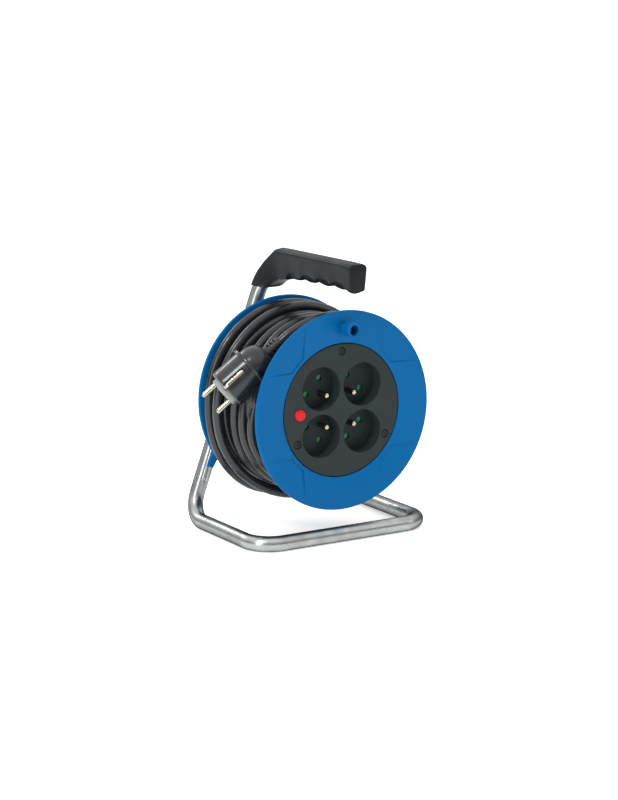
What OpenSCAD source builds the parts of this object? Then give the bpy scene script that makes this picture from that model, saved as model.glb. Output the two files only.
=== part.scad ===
// Extension cord reel: a drum with four socket outlets turns on an axle that a
// leaning leg of a bent steel tube carries. X is right, Y to the rear, Z up.
// The modules are drawn about the axle: x and z are 0 on its axis, and y is 0
// on the front of the socket plate. The last lines lift the reel to the floor.

/* [Drum] */
// Outer diameter of both flanges
flange_d = 180; // [176:1:186]
// Distance between the inner faces of the flanges
drum_gap = 97.7; // [94:0.1:104]
// Plate thickness of the flanges
flange_t = 3; // [2.4:0.1:3.4]
// Height of the front flange's dish
flange_dish = 3; // [2:0.1:3.4]
// Depth of the stepped corner fields in the front flange
field_depth = 0.8; // [0.4:0.1:1]
// Outer diameter of the drum core under the cord
core_d = 116; // [115:0.5:118]
// Wall of the drum core
core_wall = 2.5; // [2:0.1:3]

/* [Socket plate] */
// Diameter of the socket plate
plate_d = 119.5; // [118:0.5:121]
// Thickness of the socket plate
plate_t = 3; // [2.6:0.1:3.6]
// Distance between neighbouring socket centres
socket_pitch = 42.7; // [42.4:0.1:43.4]
// Diameter of a socket recess
recess_d = 39.2; // [38.8:0.1:39.8]
// Depth of a socket recess
recess_depth = 15; // [14:0.5:17]
// Wall of a socket cup
cup_wall = 1.8; // [1.6:0.1:2]
// Floor of a socket cup
cup_floor = 2; // [1.6:0.1:2.6]
// Distance between the two live contacts of a socket
live_pitch = 19; // [18.6:0.1:19.4]
// Diameter of the live holes
live_hole_d = 5.6; // [5.2:0.1:6]
// Diameter of an earth pin
earth_pin_d = 4.8; // [4.6:0.1:5]
// Length of an earth pin above the recess floor
earth_pin_len = 14; // [12:0.5:14]
// Distance from a socket's middle to its earth pin
earth_offset = 10; // [9.6:0.1:10.4]
// Radius at which the plate screws sit
screw_r = 53; // [52.4:0.1:53.4]
// Travel of a shutter
shutter_travel = 6.6; // [6.2:0.1:7]

/* [Overload button] */
// Distance of the reset button from the axle
button_x = 43.5; // [43:0.1:44]
// Diameter of the reset button
button_d = 10.6; // [9.6:0.1:11]
// Travel of the reset button
button_travel = 2; // [1.6:0.1:2.4]

/* [Winding knob] */
// Distance of the winding knob from the axle
knob_r = 74.6; // [73:0.1:76]
// Outer diameter of the winding knob at its tip
knob_d = 13.2; // [12.6:0.1:14]
// How much narrower the winding knob is at its foot
knob_taper = 2.6; // [1:0.1:2.8]
// Length of the winding knob
knob_len = 17.6; // [16:0.1:26]
// Diameter of the recess in the knob's tip
knob_tip_d = 9; // [8.6:0.1:9.6]
// Diameter of the peg that the knob turns on
peg_d = 6; // [5.6:0.1:6.4]

/* [Frame] */
// Outer diameter of the frame tube
tube_d = 14; // [13:0.1:15]
// Wall of the frame tube
tube_wall = 1.2; // [1:0.1:1.6]
// Height of the axle above the floor
axle_h = 118.5; // [117:0.5:124]
// Distance from the middle to the centre line of each floor rail
rail_x = 88; // [84:1:94]
// Distance of the front rail in front of the socket plate
front_rail = 5; // [2:1:12]
// Bend radius of the frame's lower corners
bend_r = 24; // [20:1:30]
// Bend radius at the top of the leg
top_bend_r = 35; // [33:1:37]
// Thickness of the bearing bracket from its hub face to the leg
bracket_t = 9.5; // [9:0.1:11]
// Radius of the bracket's hub
hub_r = 27; // [25:0.5:30]
// Diameter of the axle
axle_d = 20; // [18:0.5:22]

/* [Handle] */
// Distance of the grip's middle to the left of the axle
grip_x = 3.5; // [2:0.5:5]
// Height of the tube's end in the grip above the axle
grip_z = 120.5; // [119:0.5:122]
// Width of the grip
grip_w = 17.6; // [17:0.1:19]
// Height of the grip's top above the tube's middle, at the rear
grip_top = 10.7; // [10:0.1:12]
// Rise of the grip's top from rear to front
grip_rise = 3; // [1:0.5:4]
// Reach of the grip in front of the socket plate
grip_reach = 32.5; // [28:0.5:38]
// Depth of the finger grooves
groove_depth = 4.2; // [3:0.1:4.6]
// Distance between the finger grooves
groove_pitch = 24.7; // [24:0.1:25.4]

/* [Plug and cord] */
// Diameter of the cord
cord_d = 8.6; // [8:0.1:8.8]
// Diameter of the plug's barrel
plug_d = 37; // [36:0.5:38]
// Diameter of the plug's collar
collar_d = 42; // [41:0.5:43]
// Length of the plug from its face to the rear of its collar
barrel_len = 30; // [29:0.5:31]
// Diameter of the plug's pins
pin_d = 4.8; // [4.7:0.1:4.9]
// Length of the plug's pins
pin_len = 19; // [18:0.5:19]
// Distance from turn to turn across the drum
wind_pitch = 9.4; // [9.3:0.1:9.6]
// Number of tidy turns in the outer layer
tidy_turns = 8.7; // [7:0.1:8.7]
// Radius of the middle of the cord in the outer layer
wind_r = 75.5; // [74.5:0.1:76]
// Radius of the middle of the cord in the loose turns over it
loose_r = 86.3; // [86:0.1:87]
// How far the loose turns sag away from the drum at the bottom left
loose_sag = 6.5; // [4:0.5:8]

/* [Hidden] */
$fn = 64;

run_gap = 0.06; // radial clearance of the turning fits
end_gap = 0.3;  // axial clearance of the turning fits
fit_gap = 0.1;  // clearance between pieces that are fixed together
slide_gap = 0.3; // clearance round the sliding pieces
eps = 0.01;

// Drum, front to rear
plate_r = plate_d / 2;
flange_r = flange_d / 2;
core_r = core_d / 2;
well_r = plate_r + 0.85;
well_y = plate_t + 0.2;
well_floor = 2.3;
core_front = well_y + well_floor;
rear_y = drum_gap + flange_t;
boss_d = 7;
screw_d = 3.4;
head_d = 7;
head_h = 1.5;
screw_angles = [90, 210, 330];
rear_screw_angles = [30, 150, 270];
rear_screw_r = core_r - core_wall - 3;

// Socket insert
cup_r = recess_d / 2 + cup_wall;
cup_end = recess_depth + cup_floor;
shutter_t = 2.7;
shutter_half = live_hole_d / 2 + 0.8;
shutter_z = live_pitch / 2 + 4;
shutter_room = shutter_t + 0.5;
pocket_end = shutter_half + shutter_travel + 2.6;
contact_d = 7.4;
contact_front = cup_end + shutter_room + 0.4;
bar_t = 1;
bar_w = 6;
line_y = contact_front + 12;
neutral_y = line_y + 1.8;
carrier_end = neutral_y + bar_t + 0.2;
plate_screw_len = 13;
earth_root_d = earth_pin_d - 1.6;
cover_t = 3;
cover_end = carrier_end + cover_t;
insert_half = socket_pitch / 2 + 2;
diag = socket_pitch / 2 / sqrt(0.5);
earth_r = diag - earth_offset;
earth_bar_y = cup_end + 1.6;
post_r = 10.3;
tail_y = cover_end + 0.3 + cord_d / 2;
tail_len = 26;
clamp_z = -(core_r - 14);

// Frame
rail_z = axle_h - tube_d / 2;
bracket_gap = 3.3;
bracket_y = rear_y + bracket_gap;
leg_y = bracket_y + bracket_t + tube_d / 2;
lean = atan((rail_x - grip_x) / (rail_z + grip_z));
leg_len = sqrt(pow(rail_x - grip_x, 2) + pow(rail_z + grip_z, 2));
rail_end = leg_y - 3;
hub_x = rail_x * cos(lean) - rail_z * sin(lean);
hub_z = rail_x * sin(lean) + rail_z * cos(lean);
hub_front = drum_gap - 19.7;
axle_front = hub_front - end_gap;
washer_t = 1.5;
bolt_d = 8;
bracket_screw_z = [hub_z - 25, hub_z + 25];
rib_w = 6.6;
rib_up = 78;
rib_down = 86;
bracket_screw_d = 4.2;
bracket_head_d = 8.4;
bracket_head_h = 2.8;
handle_screw_len = 8;
handle_hole_d = screw_d + 0.4;

// Handle, in y and z about the axle
grip_roof = grip_z + grip_top;
grip_rear = leg_y - 22.7;
fan_y = leg_y - top_bend_r;
fan_z = grip_z - top_bend_r;
crown = 3.8;
skirt_z = grip_z - 23.5;
skirt_out = top_bend_r + tube_d / 2 + 1.8;
skirt_in = top_bend_r - tube_d / 2 - 1.4;
first_groove = leg_y - 54.85;
groove_r = pow(groove_pitch / 2, 2) / (2 * groove_depth) + groove_depth / 2;

// Whole part: the middle of its depth, without the cord
rear_reach = leg_y + tube_d / 2 + bracket_head_h;
mid_y = (rear_reach - grip_reach) / 2;

// Plug: its face, the way its pins point and its turn about them
plug_at = [-99.1, 33, 23.1];
pin_root_d = pin_d - 1.6;
plug_tip = 129.2;
plug_swing = 164.8;
plug_roll = 26.5;
pin_pitch = 19;
relief_end = 64.1;
pin_way = [sin(plug_tip) * cos(plug_swing), sin(plug_tip) * sin(plug_swing), cos(plug_tip)];
relief_at = plug_at - relief_end * pin_way;

// Winding, as an angle unwound from the strain relief
ring_step = 15;
start_angle = atan2(relief_at[2], relief_at[0]);
start_r = norm([relief_at[0], relief_at[2]]);
front_lane = 11.5;
loose_lane = 84;
rear_lane = 92.6;
tidy_from = 900;
settled = 960;
wind_end = tidy_from + 360 * tidy_turns;
core_room = 1.2;
plug_dent = 9.8;
dent_angle = 153.5;
dent_half = 30;
dent_front = 4;
dent_middle = 36;
dent_rear = 66;

// ---------------------------------------------------------------- helpers

// A cylinder along Y from y0 to y1
module y_cyl(x, z, y0, y1, d) {
    translate([x, y0, z]) rotate([-90, 0, 0]) cylinder(d = d, h = y1 - y0);
}

// A body of revolution about the axle, from points [radius, y]
module y_rev(points) {
    rotate([-90, 0, 0]) rotate_extrude($fn = 120) polygon(points);
}

// Children at a radius and an angle in the plane of the socket plate
module at_angle(r, a) {
    translate([r * cos(a), 0, r * sin(a)]) children();
}

// Children at one socket: local +X points away from the axle
module at_socket(sx, sz) {
    translate([sx * socket_pitch / 2, 0, sz * socket_pitch / 2])
        rotate([0, -atan2(sz, sx), 0]) children();
}

module at_sockets() {
    for (sx = [-1, 1]) for (sz = [-1, 1]) at_socket(sx, sz) children();
}

// The leaning plane of the leg: local Z runs up the leg from the left rail
module at_leg() {
    translate([-rail_x, 0, -rail_z]) rotate([0, lean, 0]) children();
}

// Smooth step from 0 to 1 between a0 and a1
function ease(a, a0, a1) = let(u = min(max((a - a0) / (a1 - a0), 0), 1)) u * u * (3 - 2 * u);

// Smooth hump from 0 at a0 over 1 at a1 back to 0 at a2
function hump(a, a0, a1, a2) = ease(a, a0, a1) - ease(a, a1, a2);

// ---------------------------------------------------------------- frame

// Ring section of the frame tube, or of a channel round it
module tube_section(d, bore) {
    difference() {
        circle(d = d);
        if (bore > 0) circle(d = bore);
    }
}

module straight_tube(len, d, bore) {
    linear_extrude(len) tube_section(d, bore);
}

module bent_tube(r, d, bore) {
    rotate_extrude(angle = 90, $fn = 96) translate([r, 0]) tube_section(d, bore);
}

// Leg from one height up the leg to its end in the grip, for the tube and its channel
module leg_top(from, d, bore, into) {
    at_leg() {
        translate([0, leg_y, from]) straight_tube(leg_len - top_bend_r - from, d, bore);
        translate([0, leg_y - top_bend_r, leg_len - top_bend_r])
            rotate([90, 0, 90]) bent_tube(top_bend_r, d, bore);
        translate([0, leg_y - top_bend_r, leg_len])
            rotate([90, 0, 0]) straight_tube(into, d, bore);
    }
}

module frame_tube() {
    bore = tube_d - 2 * tube_wall;
    front_y = -front_rail;
    color([0.74, 0.75, 0.74]) difference() {
        union() {
            translate([rail_x, front_y + bend_r, -rail_z])
                rotate([-90, 0, 0]) straight_tube(rail_end - front_y - bend_r, tube_d, bore);
            translate([rail_x - bend_r, front_y + bend_r, -rail_z])
                rotate([0, 0, -90]) bent_tube(bend_r, tube_d, bore);
            translate([bend_r - rail_x, front_y, -rail_z])
                rotate([0, 90, 0]) straight_tube(2 * (rail_x - bend_r), tube_d, bore);
            translate([bend_r - rail_x, front_y + bend_r, -rail_z])
                rotate([0, 0, 180]) bent_tube(bend_r, tube_d, bore);
            translate([-rail_x, front_y + bend_r, -rail_z])
                rotate([-90, 0, 0]) straight_tube(leg_y - front_y - 2 * bend_r - eps, tube_d, bore);
            at_leg() translate([0, leg_y - bend_r, bend_r])
                rotate([0, 90, 0]) bent_tube(bend_r, tube_d, bore);
            // sleeve in the wall, where the leg's bend meets the rail
            at_leg() translate([0, leg_y - bend_r + 2 * eps, 0])
                rotate([90, 0, 0]) straight_tube(3, tube_d - 0.4, bore + 0.4);
            leg_top(bend_r, tube_d, bore, 2);
        }
        // holes for the screws of the bracket and of the handle
        at_leg() for (z = bracket_screw_z)
            translate([0, leg_y - tube_d, z]) rotate([-90, 0, 0])
                cylinder(d = bracket_screw_d + 0.4, h = 2 * tube_d);
        at_handle_screw() translate([0, 0, -1]) cylinder(d = handle_hole_d, h = 5);
        // long pressed groove in the front of the leg
        at_leg() translate([0, leg_y - tube_d / 2 - 1.9, 38]) cylinder(d = 5, h = 30);
    }
}

module tube_end_cap() {
    bore = tube_d - 2 * tube_wall - 2 * fit_gap;
    color([0.1, 0.1, 0.11]) translate([rail_x, rail_end, -rail_z]) rotate([-90, 0, 0])
        rotate_extrude() polygon([
            [0, -12], [bore / 2 - 0.8, -12], [bore / 2, -11], [bore / 2, 0], [tube_d / 2, 0],
            [tube_d / 2, 1.4], [tube_d / 2 - 0.6, 2.4], [tube_d / 2 - 2, 3], [0, 3]
        ]);
}

// The handle's screw, square to the bend of the leg: local +Z points into the tube
module at_handle_screw() {
    at_leg() translate([0, leg_y - top_bend_r, leg_len - top_bend_r]) rotate([34, 0, 0])
        translate([0, top_bend_r + tube_d / 2 + 0.9, 0]) rotate([90, 0, 0]) children();
}

// Height of the grip's flat top at y
function roof_z(y) = grip_roof + grip_rise * (grip_rear - y) / (grip_rear + grip_reach);

// Height of the grip's side edges at y, along the crests between the grooves
function edge_z(y) = grip_z - lookup(y, [
    [-grip_reach, 9.2], [12 - grip_reach, 7.6], [leg_y - 93, 7.9], [leg_y - 67, 8.8], [leg_y - 42, 12.8],
    [fan_y, 14.3]
]);

// Radius of the handle's outer face and of its side edges at an angle round the bend
function back_r(t) = t > 75 ? min((roof_z(fan_y) - fan_z) / sin(t), skirt_out + 3.4)
    : (skirt_out + 3.4) * cos(22) / cos(max(t, 53) - 53);
function edge_r(t) = lookup(t, [[37, skirt_in], [69, skirt_in - 6.1], [90, edge_z(fan_y) - fan_z]]);

// Middle of the handle across its width where the leg's centre line is at height z
function grip_mid(z) = -grip_x - tan(lean) * (grip_z - z);

// Section of the handle from its top at a to its side edges at b, both [y, z], drawn in by s;
// square is 0 for the crowned underside of the grip and 1 for the flat front of the skirt
function grip_ring(x, a, b, s, square) = let(
    deep = norm(b - a), down = (b - a) / deep, half = grip_w / 2 - s, corner = 3 + square - s / 2,
    n = 2 + 6 * square, q = 0.8 - 0.45 * square,
    side = concat(
        [for (t = [0:30:90]) [half - corner + corner * sin(t), s + corner * (1 - cos(t))]],
        [for (u = [1, 0.9, 0.7, 0.4])
            [(half - 1.2 * (1 - square)) * u, deep - s + crown * pow(1 - pow(u, n), q)]]
    ),
    outline = concat(
        side, [[0, deep - s + crown]], [for (i = [len(side) - 1:-1:0]) [-side[i][0], side[i][1]]]
    )
) [for (p = outline) [x + p[0], a[0] + p[1] * down[0], a[1] + p[1] * down[1]]];

// Section across the straight part, leaning back by tilt at its lower edge
function straight_ring(y, tilt, s) = grip_ring(-grip_x, [y, roof_z(y)], [y + tilt, edge_z(y)], s, 0);

// Section round the bend at angle t
function bend_ring(t) = let(way = [cos(t), sin(t)], q = [fan_y, fan_z])
    grip_ring(grip_mid(fan_z + top_bend_r * sin(t)), q + back_r(t) * way, q + edge_r(t) * way, 0,
        min(max((75 - t) / 30, 0), 1));

function grip_rings() = let(rise = skirt_z - fan_z) [
    straight_ring(-0.1 - grip_reach, 1.5, 1.6), straight_ring(0.5 - grip_reach, 2, 0.4),
    straight_ring(1.8 - grip_reach, 2.4, 0), straight_ring(12 - grip_reach, 0, 0),
    straight_ring(leg_y - 93, 0, 0), straight_ring(leg_y - 67, 0, 0), straight_ring(leg_y - 42, 0, 0),
    for (t = [90, 80, 75, 70, 60, 48, 37]) bend_ring(t),
    grip_ring(grip_mid(skirt_z), [fan_y + sqrt(skirt_out * skirt_out - rise * rise), skirt_z],
        [fan_y + sqrt(skirt_in * skirt_in - rise * rise), skirt_z], 0, 1)
];

// Spool that cuts one finger groove and leaves its crown
module groove_spool() {
    low = grip_w / 2 - 1.2;
    rotate([0, 90, 0]) rotate_extrude($fn = 72) polygon(concat(
        [[0, -grip_w], [groove_r, -grip_w]],
        [for (u = [-1, -0.9, -0.7, -0.4, 0, 0.4, 0.7, 0.9, 1]) [groove_r - crown * pow(1 - u * u, 0.8), u * low]],
        [[groove_r, grip_w], [0, grip_w]]
    ));
}

module handle_grip() {
    rings = grip_rings();
    count = len(rings[0]);
    color([0.24, 0.26, 0.26]) difference() {
        polyhedron(points = [for (r = rings) for (p = r) p], faces = tube_faces(len(rings), count));
        leg_top(bend_r, tube_d + 2 * fit_gap, 0, 2 + fit_gap);
        for (i = [0:3]) let(y = first_groove - i * groove_pitch)
            translate([-grip_x, y, edge_z(y) + groove_depth - groove_r]) groove_spool();
        at_handle_screw() {
            translate([0, 0, -10]) cylinder(d = head_d + 0.6, h = 10);
            cylinder(d = handle_hole_d, h = 5);
        }
    }
}

// A pan-head screw: the head's seat at the origin, the shank along +Z
module screw(d, len, head, h) {
    rotate_extrude() polygon([
        [0, -h + 0.6], [1, -h + 0.6], [1.2, -h], [head / 2 - 0.7, -h], [head / 2, -h + 0.6],
        [head / 2, 0], [d / 2, 0], [d / 2, len - d / 2], [0.2, len], [0, len]
    ]);
}

module handle_screw() {
    color([0.7, 0.7, 0.7]) at_handle_screw() screw(screw_d, handle_screw_len, head_d, head_h);
}

module bearing_bracket() {
    // tangent from the arm's foot to the hub circle
    foot = 40;
    reach = sqrt(hub_x * hub_x + foot * foot);
    slope = asin(hub_r / reach) - atan(foot / hub_x);
    tip = [hub_x + hub_r * cos(slope + 90), hub_r * sin(slope + 90)];
    depth = bracket_t - fit_gap;
    color([0.09, 0.4, 0.65]) difference() {
        union() {
            // hub and arm
            at_leg() translate([0, bracket_y + depth, 0]) rotate([90, 0, 0]) linear_extrude(depth) union() {
                translate([hub_x, hub_z]) circle(r = hub_r);
                polygon([
                    [0, hub_z + foot], [tip[0], hub_z + tip[1]], [tip[0], hub_z - tip[1]], [0, hub_z - foot]
                ]);
            }
            y_cyl(0, 0, bracket_y, bracket_y + bracket_t + 4, axle_d + 10);
            // saddle round the front of the leg, and a narrow rib that runs on along it to both ends
            at_leg() {
                saddle(tube_d + 4, 0, foot - 6, foot + 10, foot - 6, foot + 10, 3);
                saddle(rib_w, 0.5, rib_up - 26, rib_up, rib_down - 26, rib_down, 4);
            }
        }
        // seat of the leg
        at_leg() translate([0, leg_y, hub_z - 100]) cylinder(d = tube_d + 2 * fit_gap, h = 200);
        // bore of the axle
        y_cyl(0, 0, bracket_y - 1, leg_y, axle_d + 0.04);
        // pockets between the ribs, open to the rear
        for (a = [0:60:300]) rotate([0, -a, 0]) intersection() {
            y_rev([
                [axle_d / 2 + 7, bracket_y + 3], [hub_r - 2.5, bracket_y + 3],
                [hub_r - 2.5, leg_y], [axle_d / 2 + 7, leg_y]
            ]);
            translate([0, bracket_y + 3, -6]) cube([hub_r, 20, 12]);
        }
        at_leg() for (s = [-1, 1]) translate([0, bracket_y + 3 + 20, 0]) rotate([90, 0, 0])
            linear_extrude(20) polygon([
                [tube_d / 2 + 4, hub_z + s * (foot - 6)], [hub_x - 20, hub_z + s * (tip[1] - 4)],
                [hub_x - 24, hub_z + s * 2], [tube_d / 2 + 4, hub_z + s * 2]
            ]);
        // pilot holes of the bracket screws
        at_leg() for (z = bracket_screw_z) translate([0, bracket_y + 2, z]) rotate([-90, 0, 0])
            cylinder(d = bracket_screw_d + 2 * fit_gap, h = 20);
    }
}

// Strip w wide along the leg about its height hub_z, shifted across by x, ramped to both ends
module saddle(w, x, up, up_end, down, down_end, back) {
    thin = leg_y - tube_d / 2 - 0.9;
    translate([x - w / 2, 0, 0]) rotate([90, 0, 90]) linear_extrude(w) polygon([
        [bracket_y, hub_z + up], [thin, hub_z + up_end], [leg_y - back, hub_z + up_end],
        [leg_y - back, hub_z - down_end], [thin, hub_z - down_end], [bracket_y, hub_z - down]
    ]);
}

module bracket_screws() {
    color([0.7, 0.7, 0.7]) at_leg() for (z = bracket_screw_z)
        translate([0, leg_y + tube_d / 2, z]) rotate([90, 0, 0])
            screw(bracket_screw_d, tube_d + bracket_t - 3, bracket_head_d, bracket_head_h);
}

module axle() {
    color([0.62, 0.63, 0.64]) y_rev([
        [bolt_d / 2 + fit_gap, axle_front], [axle_d / 2 - 0.8, axle_front], [axle_d / 2, axle_front + 0.8],
        [axle_d / 2, bracket_y + bracket_t + 4], [bolt_d / 2 + fit_gap, bracket_y + bracket_t + 4]
    ]);
}

module axle_washer() {
    color([0.72, 0.73, 0.74]) y_rev([
        [bolt_d / 2 + fit_gap, axle_front - washer_t], [axle_d / 2 + 5, axle_front - washer_t],
        [axle_d / 2 + 5, axle_front], [bolt_d / 2 + fit_gap, axle_front]
    ]);
}

module axle_screw() {
    head = axle_front - washer_t;
    color([0.7, 0.7, 0.72]) {
        y_cyl(0, 0, head, bracket_y + bracket_t, bolt_d);
        translate([0, head - 5, 0]) rotate([-90, 0, 0]) cylinder(d = 15, h = 5, $fn = 6);
    }
}

// ---------------------------------------------------------------- drum

// Height of the front flange's face at radius r
function dish(r) = -flange_dish * sin(90 * min(max((r - well_r) / (flange_r - 2 - well_r), 0), 1));

// Front skin of the front flange, lowered by t
function dish_line(t) = [for (i = [0:12]) let(r = well_r + 0.5 + i * (flange_r - 3 - well_r) / 12) [r, dish(r) + t]];

module front_flange() {
    color([0.09, 0.4, 0.65]) difference() {
        union() {
            y_rev(concat(
                [[screw_r - 4, core_front], [screw_r - 4, well_y], [well_r, well_y], [well_r, 0.3]],
                dish_line(0),
                [
                    [flange_r - 1.4, -flange_dish], [flange_r - 0.4, -flange_dish + 0.5],
                    [flange_r, -flange_dish + 1.4], [flange_r, -flange_dish + 2.1],
                    [flange_r - 0.5, -flange_dish + 2.8], [flange_r - 1.5, -flange_dish + flange_t]
                ],
                [for (i = [11:-1:1]) let(r = well_r + 2 + i * (flange_r - 4 - well_r) / 12) [r, dish(r) + flange_t]],
                [[well_r + 2.2, core_front]]
            ));
            // pad under the winding knob
            y_cyl(0, knob_r, -flange_dish, 0, knob_d + 1.6);
        }
        // stepped corner fields, which run out towards the rim
        intersection() {
            y_rev(concat(
                [for (i = [0:6]) let(r = well_r + 3.4 + i * 4) [r, dish(r) + field_depth * min(1, (6 - i) / 4)]],
                [for (i = [6:-1:0]) let(r = well_r + 3.4 + i * 4) [r, dish(r) - 1]]
            ));
            for (sx = [-1, 1]) for (sz = [-1, 1]) corner_field(sx, sz);
        }
        // room for the cups, the overload switch and the screws
        at_sockets() y_cyl(0, 0, 0, core_front + 1, 2 * (cup_r + 0.5));
        y_cyl(-button_x, 0, 0, core_front + 1, 18);
        for (a = screw_angles) at_angle(screw_r, a) y_cyl(0, 0, 0, core_front + 1, screw_d + 0.3);
        y_cyl(0, knob_r, -10, 10, peg_d + 0.04);
    }
}

// Block of one corner field, with a round inner corner
module corner_field(sx, sz) {
    near = 40;
    low = 38;
    corner = 6;
    rotate([90, 0, 0]) translate([0, 0, -5]) linear_extrude(12) union() {
        polygon([
            [sx * (near + corner), sz * low], [sx * 90, sz * low], [sx * 90, sz * 90],
            [sx * near, sz * 90], [sx * near, sz * (low + corner)], [sx * (near + corner), sz * (low + corner)]
        ]);
        translate([sx * (near + corner), sz * (low + corner)]) circle(r = corner);
    }
}

module drum_core() {
    color([0.09, 0.4, 0.65]) difference() {
        union() {
            y_rev([
                [core_r - core_wall, core_front], [core_r, core_front],
                [core_r, drum_gap], [core_r - core_wall, drum_gap]
            ]);
            for (a = screw_angles) at_angle(screw_r, a) y_cyl(0, 0, core_front, core_front + 14, boss_d);
            for (a = rear_screw_angles) at_angle(rear_screw_r, a) y_cyl(0, 0, drum_gap - 16, drum_gap, boss_d);
        }
        for (a = screw_angles) at_angle(screw_r, a)
            y_cyl(0, 0, core_front - 1, core_front + 12, screw_d + 2 * fit_gap);
        for (a = rear_screw_angles) at_angle(rear_screw_r, a)
            y_cyl(0, 0, drum_gap - 14, drum_gap + 1, screw_d + 2 * fit_gap);
        // entry of the cord
        translate([0, tail_y, -core_r - 2]) cylinder(d = cord_d + 2 * fit_gap, h = core_wall + 8);
    }
}

module rear_flange() {
    lip_r = core_r - core_wall - 0.2;
    bore = axle_d / 2 + run_gap;
    color([0.09, 0.4, 0.65]) difference() {
        union() {
            // hub that runs on the axle
            y_rev([
                [bore, hub_front], [axle_d / 2 + 4, hub_front], [axle_d / 2 + 6, drum_gap],
                [axle_d / 2 + 6, bracket_y - end_gap], [bore, bracket_y - end_gap]
            ]);
            // plate with a round rim
            y_rev([
                [axle_d / 2 + 4, drum_gap], [flange_r - 1, drum_gap], [flange_r - 0.2, drum_gap + 0.6],
                [flange_r, drum_gap + 1.4], [flange_r - 0.2, rear_y - 0.6], [flange_r - 1, rear_y],
                [axle_d / 2 + 4, rear_y]
            ]);
            // lip inside the drum core
            difference() {
                y_rev([
                    [lip_r - 2, drum_gap - 5], [lip_r, drum_gap - 5], [lip_r, drum_gap + 1], [lip_r - 2, drum_gap + 1]
                ]);
                for (a = rear_screw_angles) at_angle(rear_screw_r, a)
                    y_cyl(0, 0, drum_gap - 6, drum_gap, boss_d + 0.6);
            }
            // ribs inside the core and on the rear face
            for (a = [0:60:300]) rotate([0, -a, 0])
                translate([axle_d / 2 + 4, drum_gap - 10, -1]) cube([core_r - 14 - axle_d / 2, 10 + eps, 2]);
            for (a = [15:30:345]) rotate([0, -a, 0])
                translate([axle_d / 2 + 5, rear_y - 1, -1]) cube([flange_r - 10 - axle_d / 2, 2.2, 2]);
            for (r = [core_r, flange_r - 6])
                y_rev([[r, rear_y - 1], [r + 2, rear_y - 1], [r + 2, rear_y + 1.2], [r, rear_y + 1.2]]);
        }
        for (a = rear_screw_angles) at_angle(rear_screw_r, a) {
            y_cyl(0, 0, drum_gap - 1, rear_y + 3, screw_d + 0.3);
            y_cyl(0, 0, rear_y - head_h, rear_y + 3, head_d + 0.4);
        }
    }
}

module flange_screws() {
    color([0.7, 0.7, 0.7]) for (a = rear_screw_angles) at_angle(rear_screw_r, a)
        translate([0, rear_y - head_h, 0]) rotate([90, 0, 0]) screw(screw_d, 13, head_d, head_h);
}

// ---------------------------------------------------------------- socket insert

module socket_plate() {
    color([0.23, 0.24, 0.24]) difference() {
        union() {
            y_rev([[0, 0], [plate_r - 0.5, 0], [plate_r, 0.5], [plate_r, plate_t], [0, plate_t]]);
            at_sockets() y_cyl(0, 0, eps, cup_end, 2 * cup_r);
            // sleeve that holds the overload switch
            y_cyl(-button_x, 0, plate_t - eps, plate_t + 9, 17);
        }
        at_sockets() {
            y_cyl(0, 0, -1, recess_depth, recess_d);
            y_cyl(-earth_offset, 0, 0, cup_end + 1, earth_root_d + 0.04);
            for (z = [-1, 1]) y_cyl(0, z * live_pitch / 2, 0, cup_end + 1, live_hole_d);
        }
        y_cyl(-button_x, 0, -1, plate_t + 1, button_d + 2 * slide_gap);
        y_cyl(-button_x, 0, plate_t, plate_t + 10, 15 + 2 * fit_gap);
        for (a = screw_angles) at_angle(screw_r, a) {
            y_cyl(0, 0, -1, head_h + plate_screw_len + 1, screw_d + 0.3);
            y_cyl(0, 0, -1, head_h + 0.1, head_d + 0.6);
        }
    }
}

module plate_screws() {
    color([0.5, 0.5, 0.5]) for (a = screw_angles) at_angle(screw_r, a)
        translate([0, head_h + 0.1, 0]) rotate([-90, 0, 0]) screw(screw_d, plate_screw_len, head_d, head_h - 0.2);
}

// Outline of the insert behind the cups, from y0 to y1
module insert_body(y0, y1) {
    translate([0, y1, 0]) rotate([90, 0, 0]) linear_extrude(y1 - y0) union() {
        for (x = [-1, 1]) for (z = [-1, 1]) translate([x * socket_pitch / 2, z * socket_pitch / 2]) circle(r = cup_r);
        square(2 * insert_half, center = true);
    }
}

// Strips of the line bar (turn 0) or the neutral bar (turn 90), w wide, from y0 to y1
module bar_strips(turn, w, y0, y1) {
    near = (diag - live_pitch / 2) * sqrt(0.5);
    far = (diag + live_pitch / 2) * sqrt(0.5);
    rotate([0, turn, 0]) {
        for (x = [-near, near]) translate([x - w / 2, y0, -far - w / 2]) cube([w, y1 - y0, 2 * far + w]);
        translate([-near, y0, -w / 2]) cube([2 * near, y1 - y0, w]);
    }
}

module contact_carrier() {
    color([0.85, 0.83, 0.76]) difference() {
        insert_body(cup_end + 2 * eps, carrier_end);
        at_sockets() {
            // pocket of the shutter and its spring
            translate([-shutter_half - slide_gap, cup_end - 1, -shutter_z - slide_gap])
                cube([pocket_end + shutter_half + slide_gap, shutter_room + 1, 2 * (shutter_z + slide_gap)]);
            for (z = [-1, 1]) y_cyl(0, z * live_pitch / 2, cup_end + 1, carrier_end + 1, contact_d + 2 * fit_gap);
        }
        // seat of the earth bar
        for (a = [45, 135]) rotate([0, -a, 0])
            translate([-earth_r - 4, cup_end - 1, -bar_w / 2 - fit_gap])
                cube([2 * earth_r + 8, earth_bar_y - cup_end + bar_t + 1 + fit_gap, bar_w + 2 * fit_gap]);
        at_angle(post_r, 45) y_cyl(0, 0, cup_end - 1, carrier_end + 1, 4 + 2 * fit_gap);
        for (turn = [0, 90]) bar_strips(turn, bar_w + 2 * fit_gap, line_y - fit_gap, carrier_end + 1);
    }
}

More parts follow.
